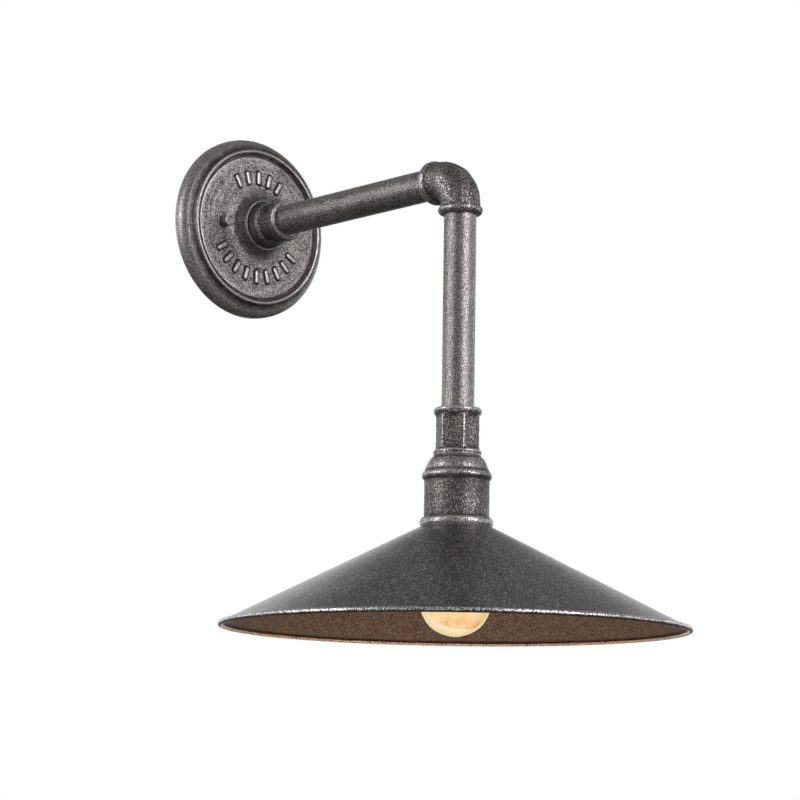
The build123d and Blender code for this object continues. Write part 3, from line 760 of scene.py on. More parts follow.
    def piece(
        self, name: str, line: Line, finishes: Sequence[Finish], body: str, slot: str, *nodes: str
    ) -> bpy.types.Object:
        """Finishes the blank as a piece of the light.

        Args:
            name: The piece's name.
            line: The line that the blank's axis lies on.
            finishes: Its finishes, in the order of its faces' material numbers.
            body: The body that it rides on.
            slot: Not used.
            nodes: The CAD nodes that it replaces.

        Returns:
            The piece.
        """
        if not self.bm.verts.layers.float.get("wear_and_highlight"):
            self.mark_edges(line)
        for face in self.bm.faces:
            face.smooth = True
        bmesh.ops.transform(self.bm, matrix=Matrix.Scale(MM, 4) @ line.value, verts=self.bm.verts)
        mesh = bpy.data.meshes.new(name)
        self.bm.to_mesh(mesh)
        self.bm.free()
        for finish in finishes:
            mesh.materials.append(finish.material())
        made = bpy.data.objects.new(name, mesh)
        bpy.context.scene.collection.objects.link(made)
        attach(made, body)
        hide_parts(*nodes)
        LOG.info("%s: %d faces, for %s", name, len(mesh.polygons), ", ".join(nodes))
        return made


CAST = AgedMetal(
    "aged_casting", silver=(0.6, 0.58, 0.57, 1.0), density=-0.112, rub=0.32, patch=0.24, scale=1350.0,
    rough=(0.52, 0.27), stretch=1.6, blur=0.11,
)
PLATE = CastPlateMetal("aged_plate", density=-0.045, rub=0.3, patch=0.16, scale=1080.0, blur=0.15)
DROP_PIPE = AgedMetal(
    "aged_drop_pipe", dark=(0.03, 0.028, 0.028, 1.0), silver=(0.41, 0.395, 0.39, 1.0), density=-0.03,
    patch=0.08, scale=1450.0, rough=(0.42, 0.33), blur=0.11,
)
NUT = AgedMetal("aged_fastener", density=0.02, rub=0.12, patch=0.1)
ARM_PIPE = AgedMetal("aged_arm_pipe", density=-0.038, patch=0.1, scale=1050.0, rough=(0.42, 0.28), blur=0.11)
SHADE_OUT = AgedMetal(
    "charcoal_shade", dark=(0.02, 0.0185, 0.022, 1.0), warm=(0.023, 0.021, 0.025, 1.0),
    silver=(0.52, 0.48, 0.48, 1.0), density=-0.087, rub=0.36, patch=0.06, scale=800.0,
    rough=(0.29, 0.3), metal=(0.5, 0.8), blur=0.1,
)
SHADE_IN = Mottled(
    "bronzed_inside", first=(0.012, 0.004, 0.001, 1.0), second=(0.443, 0.266, 0.167, 1.0), scale=950.0,
    rough=(0.6, 0.75), relief=0.0002, gloss=0.2,
)
# The inner rim: its copper is partly painted light of the bulb, and its dark colour above is partly painted shadow.
RIM_IN = AgedMetal(
    "bronzed_rim_and_glow", dark=(0.17, 0.1, 0.062, 1.0), warm=(0.23, 0.135, 0.084, 1.0),
    silver=(1.0, 0.62, 0.38, 1.0), soot_and_shadow=(0.022, 0.004, 0.0005, 1.0), density=-0.2, rub=0.28, patch=0.1,
    scale=850.0, grime_and_shadow=1.3, metal=(0.0, 0.0), blur=0.08,
)
# The outer rim: silver on top, partly painted highlight, and dark below as a painted shadow.
RIM_OUT = AgedMetal(
    "worn_highlit_rim", dark=(0.016, 0.015, 0.0155, 1.0), warm=(0.02, 0.018, 0.0175, 1.0),
    silver=(0.74, 0.715, 0.69, 1.0), density=-0.31, rub=0.33, patch=0.1, scale=900.0, grime_and_shadow=0.25,
    metal=(0.2, 0.8), blur=0.09,
)
AMBER = AmberGlass("amber_glass")


@dataclass
class WallMount:
    """The cast plate with its hub and raised bars, and the cap nuts on its face."""

    rim: float = 80.7
    wall: float = 6.6
    back: float = 2.0
    under: float = 12.0
    under_slope: float = 3.2
    face: float = 17.0
    crest: float = 20.0
    bead: Span = (65.7, 71.1)
    bead_wear: float = 0.5
    groove: float = 63.5
    groove_depth: float = 1.4
    hub: Ramp = (16.05, 21.0, 22.5, 30.5)
    hub_floor: float = 27.0
    hub_rim: float = 30.0
    hub_flare: tuple[Corner, ...] = ((0.9, 6.5, 3.0), (4.2, 1.9, 2.6), (11.0, 0.0, 3.4))
    hub_wear: float = 0.3
    lumps: Lumps = Lumps(depth=0.07, size=7.0, seed=3.1)
    bar_radius: float = 45.0
    bar_length: float = 12.0
    bar_width: float = 4.0
    bar_rise: float = 1.3
    bar_sink: float = 0.4
    bar_lift: float = 0.1
    bar_skirt: float = 1.5
    bar_step: float = 15.0
    bar_arcs: tuple[tuple[float, int], ...] = ((90.0, 5), (270.0, 9))
    bar_segments: int = 20
    bar_wear: float = 0.45
    bar_foot_shadow: float = 1.2
    nut_base: float = 17.8
    nut_end: float = 25.4
    nut_cap: float = 2.0
    nut_radius: float = 5.0
    nut_bore: float = 2.15

    def plate(self) -> bpy.types.Object:
        """Builds the plate, from its bore outwards and back behind.

        Returns:
            The plate.
        """
        bore, recess, rim, base = self.hub
        inner, outer = self.bead
        low, skirt = self.face - self.groove_depth, self.rim - self.wall
        blank = Blank().turn(
            [
                (bore, self.under, 0.0), (bore, self.hub_floor, 0.0), (recess, self.hub_floor, 0.4),
                (recess, self.hub_rim, 0.6), (rim, self.hub_rim, 0.6),
                *((rim + out, self.face + rise, soft) for out, rise, soft in self.hub_flare),
                (self.groove, self.face, 0.4), (self.groove + 0.9, low, 0.5), (inner, low, 0.4),
                (inner + 1.9, self.crest, 0.9), (outer - 1.5, self.crest, 0.9), (outer, low, 0.8),
                (self.rim, low - 2.67, 6.2), (self.rim, self.back, 0.8), (skirt, self.back, 0.3),
                (skirt, self.under - self.under_slope, 0.5), (skirt - self.under_slope, self.under, 0.5),
            ],
            steps=216, grain=3.2,
        )
        blank.roughen(self.lumps).mark_edges(Line.ARM)
        blank.set_mark("wear_and_highlight", self.bead_wear, lambda point: inner < point.xy.length < outer, min)
        blank.set_mark("wear_and_highlight", self.hub_wear, lambda point: point.xy.length < base, min)
        for middle, count in self.bar_arcs:
            for number in range(count):
                turn = math.radians(middle + self.bar_step * (number - (count - 1) / 2))
                place = Matrix.Rotation(turn, 4, "Z")
                place = place @ Matrix.Translation((self.bar_radius, 0, self.face - self.bar_sink))
                blank.add(self.bar(), place)
        return blank.piece("cast_wall_plate", Line.ARM, [PLATE], "fixture", "aged_cast_metal", "wall_plate")

    def bar(self) -> Blank:
        """Builds one raised bar along X, sunk into the face, with a thin skirt at its foot.

        Returns:
            The bar.
        """
        blank = Blank()
        bm = blank.bm
        wide = self.bar_width / 2 + self.bar_skirt
        ends = bmesh.ops.create_circle(bm, cap_ends=True, radius=wide, segments=self.bar_segments)["verts"]
        half_step = Matrix.Rotation(math.pi / self.bar_segments, 3, "Z")
        bmesh.ops.rotate(bm, verts=ends, cent=(0, 0, 0), matrix=half_step)
        stretch = (self.bar_length - self.bar_width) / 2
        for side in (-1, 1):
            half = [vert for vert in ends if vert.co.x * side > 0]
            bmesh.ops.translate(bm, verts=half, vec=(side * stretch, 0, 0))
        raised = bmesh.ops.extrude_face_region(bm, geom=bm.faces[:], use_keep_orig=True)["geom"]
        top = next(part for part in raised if isinstance(part, bmesh.types.BMFace))
        foot = self.bar_sink + self.bar_lift
        bmesh.ops.translate(bm, verts=top.verts[:], vec=(0, 0, foot))
        steps = ((self.bar_skirt, 0.12), (0.12, self.bar_rise - 0.65), (0.25, 0.3), (0.45, 0.2), (0.6, 0.08))
        for inset, rise in steps:
            bmesh.ops.inset_region(bm, faces=[top], thickness=inset, depth=0.0, use_even_offset=True)
            bmesh.ops.translate(bm, verts=top.verts[:], vec=(0, 0, rise))
        blank.close().mark_edges(Line.ARM)
        half_up = foot + self.bar_rise / 2
        # The tops are rubbed; the lower half stays dark and the foot is darkened, a painted shadow outline.
        blank.set_mark("wear_and_highlight", self.bar_wear, lambda point: point.z > foot + self.bar_rise - 0.4)
        blank.set_mark("wear_and_highlight", 0.0, lambda point: point.z < half_up, min)
        blank.set_mark("grime_and_shadow", self.bar_foot_shadow, lambda point: point.z < half_up)
        return blank

    def cap_nut(self, side: str, line: Line) -> bpy.types.Object:
        """Builds one cap nut.

        Args:
            side: The side of the plate that it is on.
            line: Its stud's line.

        Returns:
            The cap nut.
        """
        ceiling = self.nut_end - self.nut_cap
        blank = Blank().turn(
            [
                (self.nut_bore, self.nut_base, 0.0), (self.nut_radius, self.nut_base, 0.3),
                (self.nut_radius, self.nut_end, 0.5), (0.0, self.nut_end, 0.0), (0.0, ceiling, 0.0),
                (self.nut_bore, ceiling, 0.0),
            ],
            steps=64, grain=1.2,
        )
        return blank.piece(
            f"turned_cap_nut_{side}", line, [NUT], f"nut_{side}", "aged_fasteners", f"cap_nut_{side}"
        )

    def build(self) -> None:
        """Builds the plate and both cap nuts."""
        self.plate()
        self.cap_nut("left", Line.LEFT_STUD)
        self.cap_nut("right", Line.RIGHT_STUD)


@dataclass
class PipeArm:
    """The collar in the hub, the two pipes and the elbow between them."""

    bore: float = 10.45
    pipe: float = 13.35
    seat: float = 13.4
    stub: float = 16.0
    stub_end: float = 5.0
    flange: float = 20.2
    flange_span: Span = (27.0, 41.0)
    collar: float = 16.8
    collar_bead: float = 18.2
    collar_bead_start: float = 54.0
    collar_end: float = 61.5
    collar_wear: float = 0.5
    collar_recess_shadow: float = 0.5
    collar_lumps: Lumps = Lumps(depth=0.14, size=6.0, seed=8.2)
    arm_span: Span = (47.5, 266.7)
    drop_span: Span = (-205.1, -19.4)
    elbow: float = 16.6
    elbow_band: float = 18.5
    elbow_bend: float = 24.0
    elbow_mouth: float = 9.4
    elbow_segments: int = 96
    elbow_steps: int = 32
    elbow_lumps: tuple[Lumps, ...] = (
        Lumps(depth=0.4, size=7.5, seed=5.3), Lumps(depth=0.16, size=3.0, seed=2.2)
    )
    lump_span: Span = (0.2, 9.0)
    lump_least: float = 0.1
    elbow_wear: float = 0.05
    arm_band: Span = (10.9, 9.4)
    drop_band: Span = (7.9, 8.0)
    band_round: float = 3.9
    band_land: float = 0.1
    band_arc: tuple[float, ...] = (32, 46, 60, 75, 90, 105, 120, 135, 148, 160, 171, 180)
    band_wear: Span = (0.27, 0.35)
    drop_wear: float = 0.2
    drop_mouth_shadow: float = 0.6
    seat_bend: float = 19.4
    seat_depth: float = 14.0

    def arm_collar(self) -> bpy.types.Object:
        """Builds the collar with its flange and end bead.

        Returns:
            The collar.
        """
        low, high = self.flange_span
        bead, seat_end = self.collar_bead_start, self.arm_span[0]
        blank = Blank().turn(
            [
                (self.bore, self.stub_end, 0.0), (self.stub, self.stub_end, 0.4), (self.stub, low, 0.0),
                (self.flange, low, 1.6), (self.flange, high, 3.0), (self.collar, high + 0.6, 0.5),
                (self.collar, bead, 0.5), (self.collar_bead, bead + 0.6, 1.1),
                (self.collar_bead, self.collar_end, 2.4), (self.seat, self.collar_end, 0.3),
                (self.seat, seat_end, 0.0), (self.bore, seat_end, 0.0),
            ],
            steps=128, grain=1.6,
        )
        blank.roughen(self.collar_lumps).mark_edges(Line.ARM)
        # The collar between flange and bead is darkened as a painted shadow.
        blank.set_mark("grime_and_shadow", self.collar_recess_shadow, lambda point: high < point.z < bead)
        blank.set_mark("wear_and_highlight", self.collar_wear, everywhere, min)
        return blank.piece("cast_arm_collar", Line.ARM, [CAST], "fixture", "aged_cast_metal", "arm_collar")

    def straight_pipe(self, node: str, line: Line, span: Span, finish: Finish) -> bpy.types.Object:
        """Builds one straight pipe.

        Args:
            node: The CAD node that it replaces.
            line: The line that it lies on.
            span: Its start and end along that line.
            finish: Its finish.

        Returns:
            The pipe.
        """
        start, end = span
        blank = Blank().turn(
            [(self.bore, start, 0.3), (self.pipe, start, 0.5), (self.pipe, end, 0.5), (self.bore, end, 0.3)],
            steps=96, grain=8.0,
        )
        return blank.piece(f"aged_{node}", line, [finish], "fixture", "aged_pipe", node)

    def elbow_piece(self) -> bpy.types.Object:
        """Builds the elbow: a bent tube inside and out, with a raised band at each mouth.

        Returns:
            The elbow.
        """
        blank = Blank()
        bands = self.arm_band, self.drop_band
        outside = self.bent_tube(blank.bm, self.elbow, self.elbow_bend)
        self.bent_tube(blank.bm, self.bore, self.seat_bend)
        for end, band in zip(outside, bands):
            self.mouth(blank.bm, *end, *band)
        blank.close()
        for lumps in self.elbow_lumps:
            blank.roughen(lumps, self.cast_share)
        arm_crest, drop_crest = (width / 2 - reach - self.elbow_bend for reach, width in bands)
        arm_edge, drop_edge = ARM_REACH + arm_crest + 3.4, drop_crest + 3.0
        least, most = self.band_wear
        blank.mark_edges(Line.ARM).set_mark("wear_and_highlight", self.elbow_wear, everywhere)
        blank.set_mark("wear_and_highlight", least, lambda point: point.y < drop_edge or point.z < arm_edge)
        blank.set_mark("wear_and_highlight", most, lambda point: point.z < arm_edge, min)
        # The mouth that points down keeps little rubbing and is darkened as a painted shadow.
        blank.set_mark("wear_and_highlight", self.drop_wear, lambda point: point.y < drop_crest - 0.5, min)
        blank.set_mark("grime_and_shadow", self.drop_mouth_shadow, lambda point: point.y < drop_crest - 2.0)
        return blank.piece("cast_elbow", Line.ARM, [CAST], "fixture", "aged_cast_metal", "elbow")

    def bent_tube(self, bm: bmesh.types.BMesh, radius: float, bend: float) -> list[tuple[list, Vector, Vector]]:
        """Spins a ring through the elbow's quarter turn.

        Args:
            bm: The elbow's mesh.
            radius: The tube's radius.
            bend: The radius of its bend.

        Returns:
            The edges, the middle and the outward direction of each end.
        """
        start = Vector((0, 0, ARM_REACH - bend))
        centre = start - Vector((0, bend, 0))
        before = set(bm.edges)
        bmesh.ops.create_circle(
            bm, cap_ends=False, radius=radius, segments=self.elbow_segments, matrix=Matrix.Translation(start)
        )
        ring = [edge for edge in bm.edges if edge not in before]
        verts = list({vert for edge in ring for vert in edge.verts})
        spun = bmesh.ops.spin(
            bm, geom=verts + ring, cent=centre, axis=(1, 0, 0), dvec=(0, 0, 0), angle=math.pi / 2,
            steps=self.elbow_steps, use_merge=False, use_normal_flip=False, use_duplicate=False,
        )["geom_last"]
        last = [part for part in spun if isinstance(part, bmesh.types.BMEdge)]
        return [(ring, start, Vector((0, 0, -1))), (last, centre + Vector((0, 0, bend)), Vector((0, -1, 0)))]

    def mouth(
        self, bm: bmesh.types.BMesh, ring: list, middle: Vector, way: Vector, end: float, width: float
    ) -> None:
        """Extrudes one mouth of the elbow: its band, its end face and its seat.

        Args:
            bm: The elbow's mesh.
            ring: The edges that the mouth starts from.
            middle: The middle of that ring.
            way: The direction out of the mouth.
            end: How far the mouth reaches from the ring.
            width: The width of its band.
        """
        soft = self.band_round
        hollow = self.elbow_band - soft
        first, last = end - width + soft + self.band_land, end - soft - self.band_land
        band = []
        for degrees in self.band_arc:
            turn = math.radians(degrees)
            centre = first if degrees <= 90 else last
            band.append((centre - soft * math.cos(turn), hollow + soft * math.sin(turn)))
        stations = [(band[0][0] * share, self.elbow) for share in (0.3, 0.6, 0.9)] + band
        floor = self.elbow_mouth - self.seat_depth
        stations += [(end, self.seat + 0.4), (end - 0.4, self.seat), (0.0, self.seat)]
        stations += [(floor, self.seat), (floor, self.bore)]
        reach, radius = 0.0, self.elbow
        for next_reach, next_radius in stations:
            grown = bmesh.ops.extrude_edge_only(bm, edges=ring)["geom"]
            ring = [part for part in grown if isinstance(part, bmesh.types.BMEdge)]
            verts = [part for part in grown if isinstance(part, bmesh.types.BMVert)]
            bmesh.ops.translate(bm, verts=verts, vec=way * (next_reach - reach))
            middle = middle + way * (next_reach - reach)
            size = next_radius / radius
            bmesh.ops.scale(bm, verts=verts, vec=(size, size, size), space=Matrix.Translation(-middle))
            reach, radius = next_reach, next_radius

    def cast_share(self, point: Vector) -> float:
        """Returns how lumpy the elbow is at a point: hardly at all at its mouths or in its bore."""
        out = max(ARM_REACH - self.elbow_bend - point.z, -self.elbow_bend - point.y)
        return smooth_share(self.elbow_mouth - out, *self.lump_span) * (1 - self.lump_least) + self.lump_least

    def build(self) -> None:
        """Builds the collar, the pipes and the elbow."""
        self.arm_collar()
        self.straight_pipe("arm_pipe", Line.ARM, self.arm_span, ARM_PIPE)
        self.straight_pipe("drop_pipe", Line.DROP, self.drop_span, DROP_PIPE)
        self.elbow_piece()


@dataclass
class LampHead:
    """The hex coupling and the socket cup."""

    bore: float = 10.45
    seat: float = 13.4
    nipple: float = 13.95
    pipe_end: float = -205.1
    coupling_top: float = -192.1
    coupling_lumps: Lumps = Lumps(depth=0.14, size=5.0, seed=4.4)
    bead: float = 19.6
    hex_top: float = -196.9
    hex_bottom: float = -227.1
    hex_flat: float = 15.85
    hex_land: float = 18.0
    hex_margin: float = 1.0
    hex_turn: float = 4.0
    hex_cove: float = 4.5
    hex_edge: float = 29.5
    hex_wear: Span = (0.05, 0.4)
    neck: float = 19.3
    nipple_end: float = -243.1
    cup: float = 26.45
    cup_top: float = -232.1
    cup_bottom: float = -289.4
    cup_lumps: Lumps = Lumps(depth=0.22, size=6.0, seed=6.6)
    dome: tuple[Corner, ...] = ((4.4, 2.3, 1.5), (2.3, 5.6, 1.8), (1.2, 8.9, 1.4), (0.4, 11.0, 0.5))
    cup_bead: float = 28.4
    cup_bead_span: Span = (-251.4, -244.0)
    cup_foot: float = 29.95
    foot_top: float = -281.1
    cup_inside: Ramp = (23.95, 22.1, 20.15, -245.1)
    cup_steps: Span = (-279.4, -275.4)

    def coupling(self) -> bpy.types.Object:
        """Builds the coupling, turned first and then cut to six flats.

        Returns:
            The coupling.
        """
        flats_top, flats_bottom = self.hex_top - self.hex_margin, self.hex_bottom + self.hex_margin
        blank = Blank().turn(
            [
                (self.seat, self.coupling_top, 0.2), (self.bead, self.coupling_top, 2.3),
                (self.bead, self.hex_top, 2.3), (self.hex_land, flats_top, 0.5),
                (self.hex_land, flats_bottom, 0.5), (self.bead, self.hex_bottom, 1.4),
                (self.bead, self.cup_top, 1.8), (self.nipple, self.cup_top, 0.0),
                (self.nipple, self.nipple_end, 0.0), (self.bore, self.nipple_end, 0.0),
                (self.bore, self.pipe_end, 0.0), (self.seat, self.pipe_end, 0.0),
            ],
            steps=180, grain=0.8,
        )
        for vert in blank.bm.verts:
            self.cut_flat(vert)
        blank.close().roughen(self.coupling_lumps).mark_edges(Line.DROP)
        flat_wear, edge_wear = self.hex_wear
        flats = between((flats_bottom, flats_top), 0.0)
        blank.set_mark("wear_and_highlight", flat_wear, flats, min)
        blank.set_mark("wear_and_highlight", edge_wear, lambda point: flats(point) and abs(self.flat_turn(point)) > self.hex_edge)
        return blank.piece("cast_hex_coupling", Line.DROP, [CAST], "fixture", "aged_cast_metal", "hex_coupling")

    def flat_turn(self, point: Vector) -> float:
        """Returns a point's angle from the middle of its flat, in degrees."""
        return (math.degrees(math.atan2(point.y, point.x)) - self.hex_turn) % 60 - 30

    def cut_flat(self, vert: bmesh.types.BMVert) -> None:
        """Sinks a vertex of the turned coupling to the hex flats, with a cove at their ends.

        Args:
            vert: The vertex.
        """
        radius = vert.co.xy.length
        inward = min(self.hex_top - vert.co.z, vert.co.z - self.hex_bottom)
        if radius < self.seat + 1 or inward < 0:
            return
        flat = self.hex_flat / math.cos(math.radians(self.flat_turn(vert.co)))
        left = max(0.0, self.hex_cove - inward)
        flat += self.hex_cove - math.sqrt(self.hex_cove**2 - left**2)
        if flat < radius:
            vert.co.xy *= flat / radius

    def socket_cup(self) -> bpy.types.Object:
        """Builds the cup with its dome, bead and foot.

        Returns:
            The cup.
        """
        low, high = self.cup_bead_span
        thread, seat, bore, ceiling = self.cup_inside
        thread_end, seat_end = self.cup_steps
        cup, foot, foot_top = self.cup, self.cup_foot, self.foot_top
        blank = Blank().turn(
            [
                (self.nipple, self.cup_top, 0.0), (self.neck, self.cup_top, 0.5),
                *((cup - inset, self.cup_top - drop, soft) for inset, drop, soft in self.dome),
                (cup, high, 0.3), (self.cup_bead, high - 1.6, 2.0), (self.cup_bead, low + 1.6, 2.0),
                (cup, low, 0.3), (cup, foot_top, 0.4), (foot - 0.35, foot_top - 1.9, 1.7),
                (foot, foot_top - 5.4, 1.7), (foot - 1.15, self.cup_bottom, 0.3),
                (thread, self.cup_bottom, 0.0), (thread, thread_end, 0.0), (seat, thread_end, 0.0),
                (seat, seat_end, 0.0), (bore, seat_end, 0.0), (bore, ceiling, 0.0), (self.nipple, ceiling, 0.0),
            ],
            steps=180, grain=1.4,
        )
        blank.roughen(self.cup_lumps).mark_edges(Line.DROP)
        crest = (low + high) / 2
        dome = self.cup_top - self.dome[-1][1] + 0.6, self.cup_top - 2.0
        # The bead is rubbed on top and kept dark below, partly a painted highlight; its underside and the wall below
        # it are darkened as a painted shadow.
        marks = (
            ("wear_and_highlight", 0.36, (foot_top - 6.4, foot_top - 1.2), cup + 1, max),
            ("wear_and_highlight", 0.31, dome, self.neck, max),
            ("wear_and_highlight", 0.36, dome, self.neck, min),
            ("grime_and_shadow", 0.4, (high - 1, dome[1]), self.neck, min),
            ("wear_and_highlight", 0.31, (crest - 0.4, high), cup + 0.6, max),
            ("wear_and_highlight", 0.12, (low, crest - 0.4), cup, min),
            ("grime_and_shadow", 0.4, (foot_top, low), cup - 1, max),
            ("grime_and_shadow", 0.9, (low - 1, crest - 1.5), cup, max),
        )
        for name, amount, heights, inside, pick in marks:
            blank.set_mark(name, amount, between(heights, inside), pick)
        return blank.piece("cast_socket_cup", Line.DROP, [CAST], "fixture", "aged_cast_metal", "socket_cup")

    def build(self) -> None:
        """Builds the coupling and the cup."""
        self.coupling()
        self.socket_cup()


@dataclass
class Shade:
    """The spun cone, which ends in a wired rim."""

    hole: float = 24.15
    flat: float = 29.45
    top: float = -289.4
    edge: float = 189.98
    bottom: float = -372.4
    sheet: float = 1.5
    rim: float = 4.0
    rim_sink: float = 0.2
    rim_split: float = 2.2
    rim_lean: float = 0.35
    rim_under: float = 0.3
    rim_near: float = 0.5
    rim_calm: float = 6.0
    inner_wear_and_glow: Span = (-0.3, 0.3)
    outer_wear_and_highlight: Span = (0.1, 1.8)
    soot_shadow_width: float = 4.8
    soot_shadow_full: float = 1.8
    lumps: Lumps = Lumps(depth=0.25, size=45.0, seed=9.1)
    finishes: tuple[Finish, ...] = (SHADE_OUT, SHADE_IN, RIM_IN, RIM_OUT)
    inner: float = field(init=False)
    rim_top: float = field(init=False)
    slope: float = field(init=False)

    def __post_init__(self) -> None:
        """Works out where the rim starts and how steep the cone is."""
        self.inner, self.rim_top = self.edge - self.rim, self.bottom + self.rim
        self.slope = (self.rim_top - self.rim_sink - self.top) / (self.inner - self.flat)

    def lining(self, radius: float) -> float:
        """Returns the height of the cone's inner face at a radius."""
        return self.top + self.slope * (radius - self.flat) - self.sheet * math.hypot(1.0, self.slope)

    def side(self, face: bmesh.types.BMFace) -> ShadeSide:
        """Tells which side of the shade a face is on.

        Args:
            face: The face.

        Returns:
            The side.
        """
        middle = face.calc_center_median()
        radius = middle.xy.length
        outward = face.normal.xy.dot(middle.xy) / radius
        if radius < self.inner - self.soot_shadow_width and face.normal.z < 0:
            return ShadeSide.INSIDE
        if middle.z < self.rim_top and outward < self.rim_lean and face.normal.z < self.rim_under:
            return ShadeSide.INNER_RIM
        if radius > self.inner and outward >= self.rim_lean:
            return ShadeSide.OUTER_RIM
        return ShadeSide.OUTSIDE

    def mark_rim(self, bm: bmesh.types.BMesh) -> None:
        """Marks the rim's worn edges, partly a painted highlight outside and painted light of the bulb inside, and
        the darkening above it inside, partly painted shadow.

        Args:
            bm: The shade's mesh.
        """
        wear_and_highlight, grime_and_shadow = (bm.verts.layers.float[name] for name in ("wear_and_highlight", "grime_and_shadow"))
        middle, split = self.bottom + self.rim / 2, self.edge - self.rim_split
        soot_and_shadow = self.inner - self.soot_shadow_width, self.inner - self.soot_shadow_full
        for vert in bm.verts:
            radius, height = vert.co.xy.length, vert.co.z
            inner_low = smooth_share(middle - height, *self.inner_wear_and_glow)
            if radius > self.inner - self.rim_near and height < self.rim_top + self.rim_near:
                outer_top = smooth_share(height - self.bottom, *self.outer_wear_and_highlight)
                vert[wear_and_highlight] = outer_top if radius > split else inner_low
            if soot_and_shadow[0] - 0.1 < radius < split and height < self.lining(radius) + self.rim_near:
                vert[grime_and_shadow] = smooth_share(radius, *soot_and_shadow) * (1 - inner_low)

    def build(self) -> None:
        """Builds the shade, from its hole outwards and back inside."""
        inner, floor = self.inner, self.top - self.sheet
        lined = inner, inner - self.soot_shadow_full, inner - self.soot_shadow_width
        blank = Blank().turn(
            [
                (self.hole, self.top, 0.0), (self.flat, self.top, 1.2), (inner + 0.6, self.rim_top - 0.5, 0.4),
                (inner + 1.6, self.rim_top, 0.8), (self.edge, self.rim_top, 1.7), (self.edge, self.bottom, 1.9),
                (inner, self.bottom, 1.7), *zip(lined, map(self.lining, lined), (0.5, 0.0, 0.0)),
                (self.flat - 0.4, floor, 1.2), (self.hole, floor, 0.0),
            ],
            steps=240, grain=12.0,
        )
        blank.roughen(self.lumps, lambda point: point.xy.length < inner - self.rim_calm).mark_edges(Line.DROP)
        for face in blank.bm.faces:
            face.material_index = self.side(face)
        self.mark_rim(blank.bm)
        blank.piece("spun_shade", Line.DROP, self.finishes, "fixture", "aged_shade", "shade")


@dataclass
class Bulb:
    """The glass of the bulb; its other pieces keep their CAD shape."""

    ball: float = 29.5
    neck: float = 13.3
    collar: float = 11.55
    glass: float = 0.8
    ledge: float = -297.1
    neck_top: float = -288.1
    bottom: float = -377.4
    arcs: int = 3
    neck_round: float = 0.98
    ball_round: float = 0.99

    def outline(self, skin: float) -> list[Corner]:
        """Lists the corners of the envelope's outside, or of its inside.

        Args:
            skin: How far inside the outer face the line runs.

        Returns:
            The corners, from the neck down to the axis.
        """
        ball, neck, middle = self.ball - skin, self.neck - skin, self.bottom + self.ball
        collar, ledge = self.collar - skin, self.ledge - skin
        rise = ledge - middle
        flare = (neck**2 + rise**2 - ball**2) / (2 * (ball - neck))
        start = math.asin(rise / (ball + flare))
        share = (start + math.pi / 2) / self.arcs
        reach, soft = ball / math.cos(share / 2), ball * math.tan(share / 2)
        bend = flare * math.tan(start / 2)
        corners = [(collar, self.neck_top, 0.0), (collar, ledge, 0.0), (neck, ledge, 0.0)]
        corners.append((neck, ledge - bend, bend * self.neck_round))
        for step in range(self.arcs):
            angle = start - share * (step + 0.5)
            corners.append((reach * math.cos(angle), middle + reach * math.sin(angle), soft * self.ball_round))
        corners.append((0.0, middle - ball, 0.0))
        return corners

    def build(self) -> None:
        """Builds the glass with its inner and outer face."""
        outer, inner = self.outline(0.0), self.outline(self.glass)
        blank = Blank().turn(outer + inner[::-1], steps=96, grain=2.5)
        blank.piece("amber_bulb_glass", Line.DROP, [AMBER], "bulb", "amber_glass", "bulb_glass")


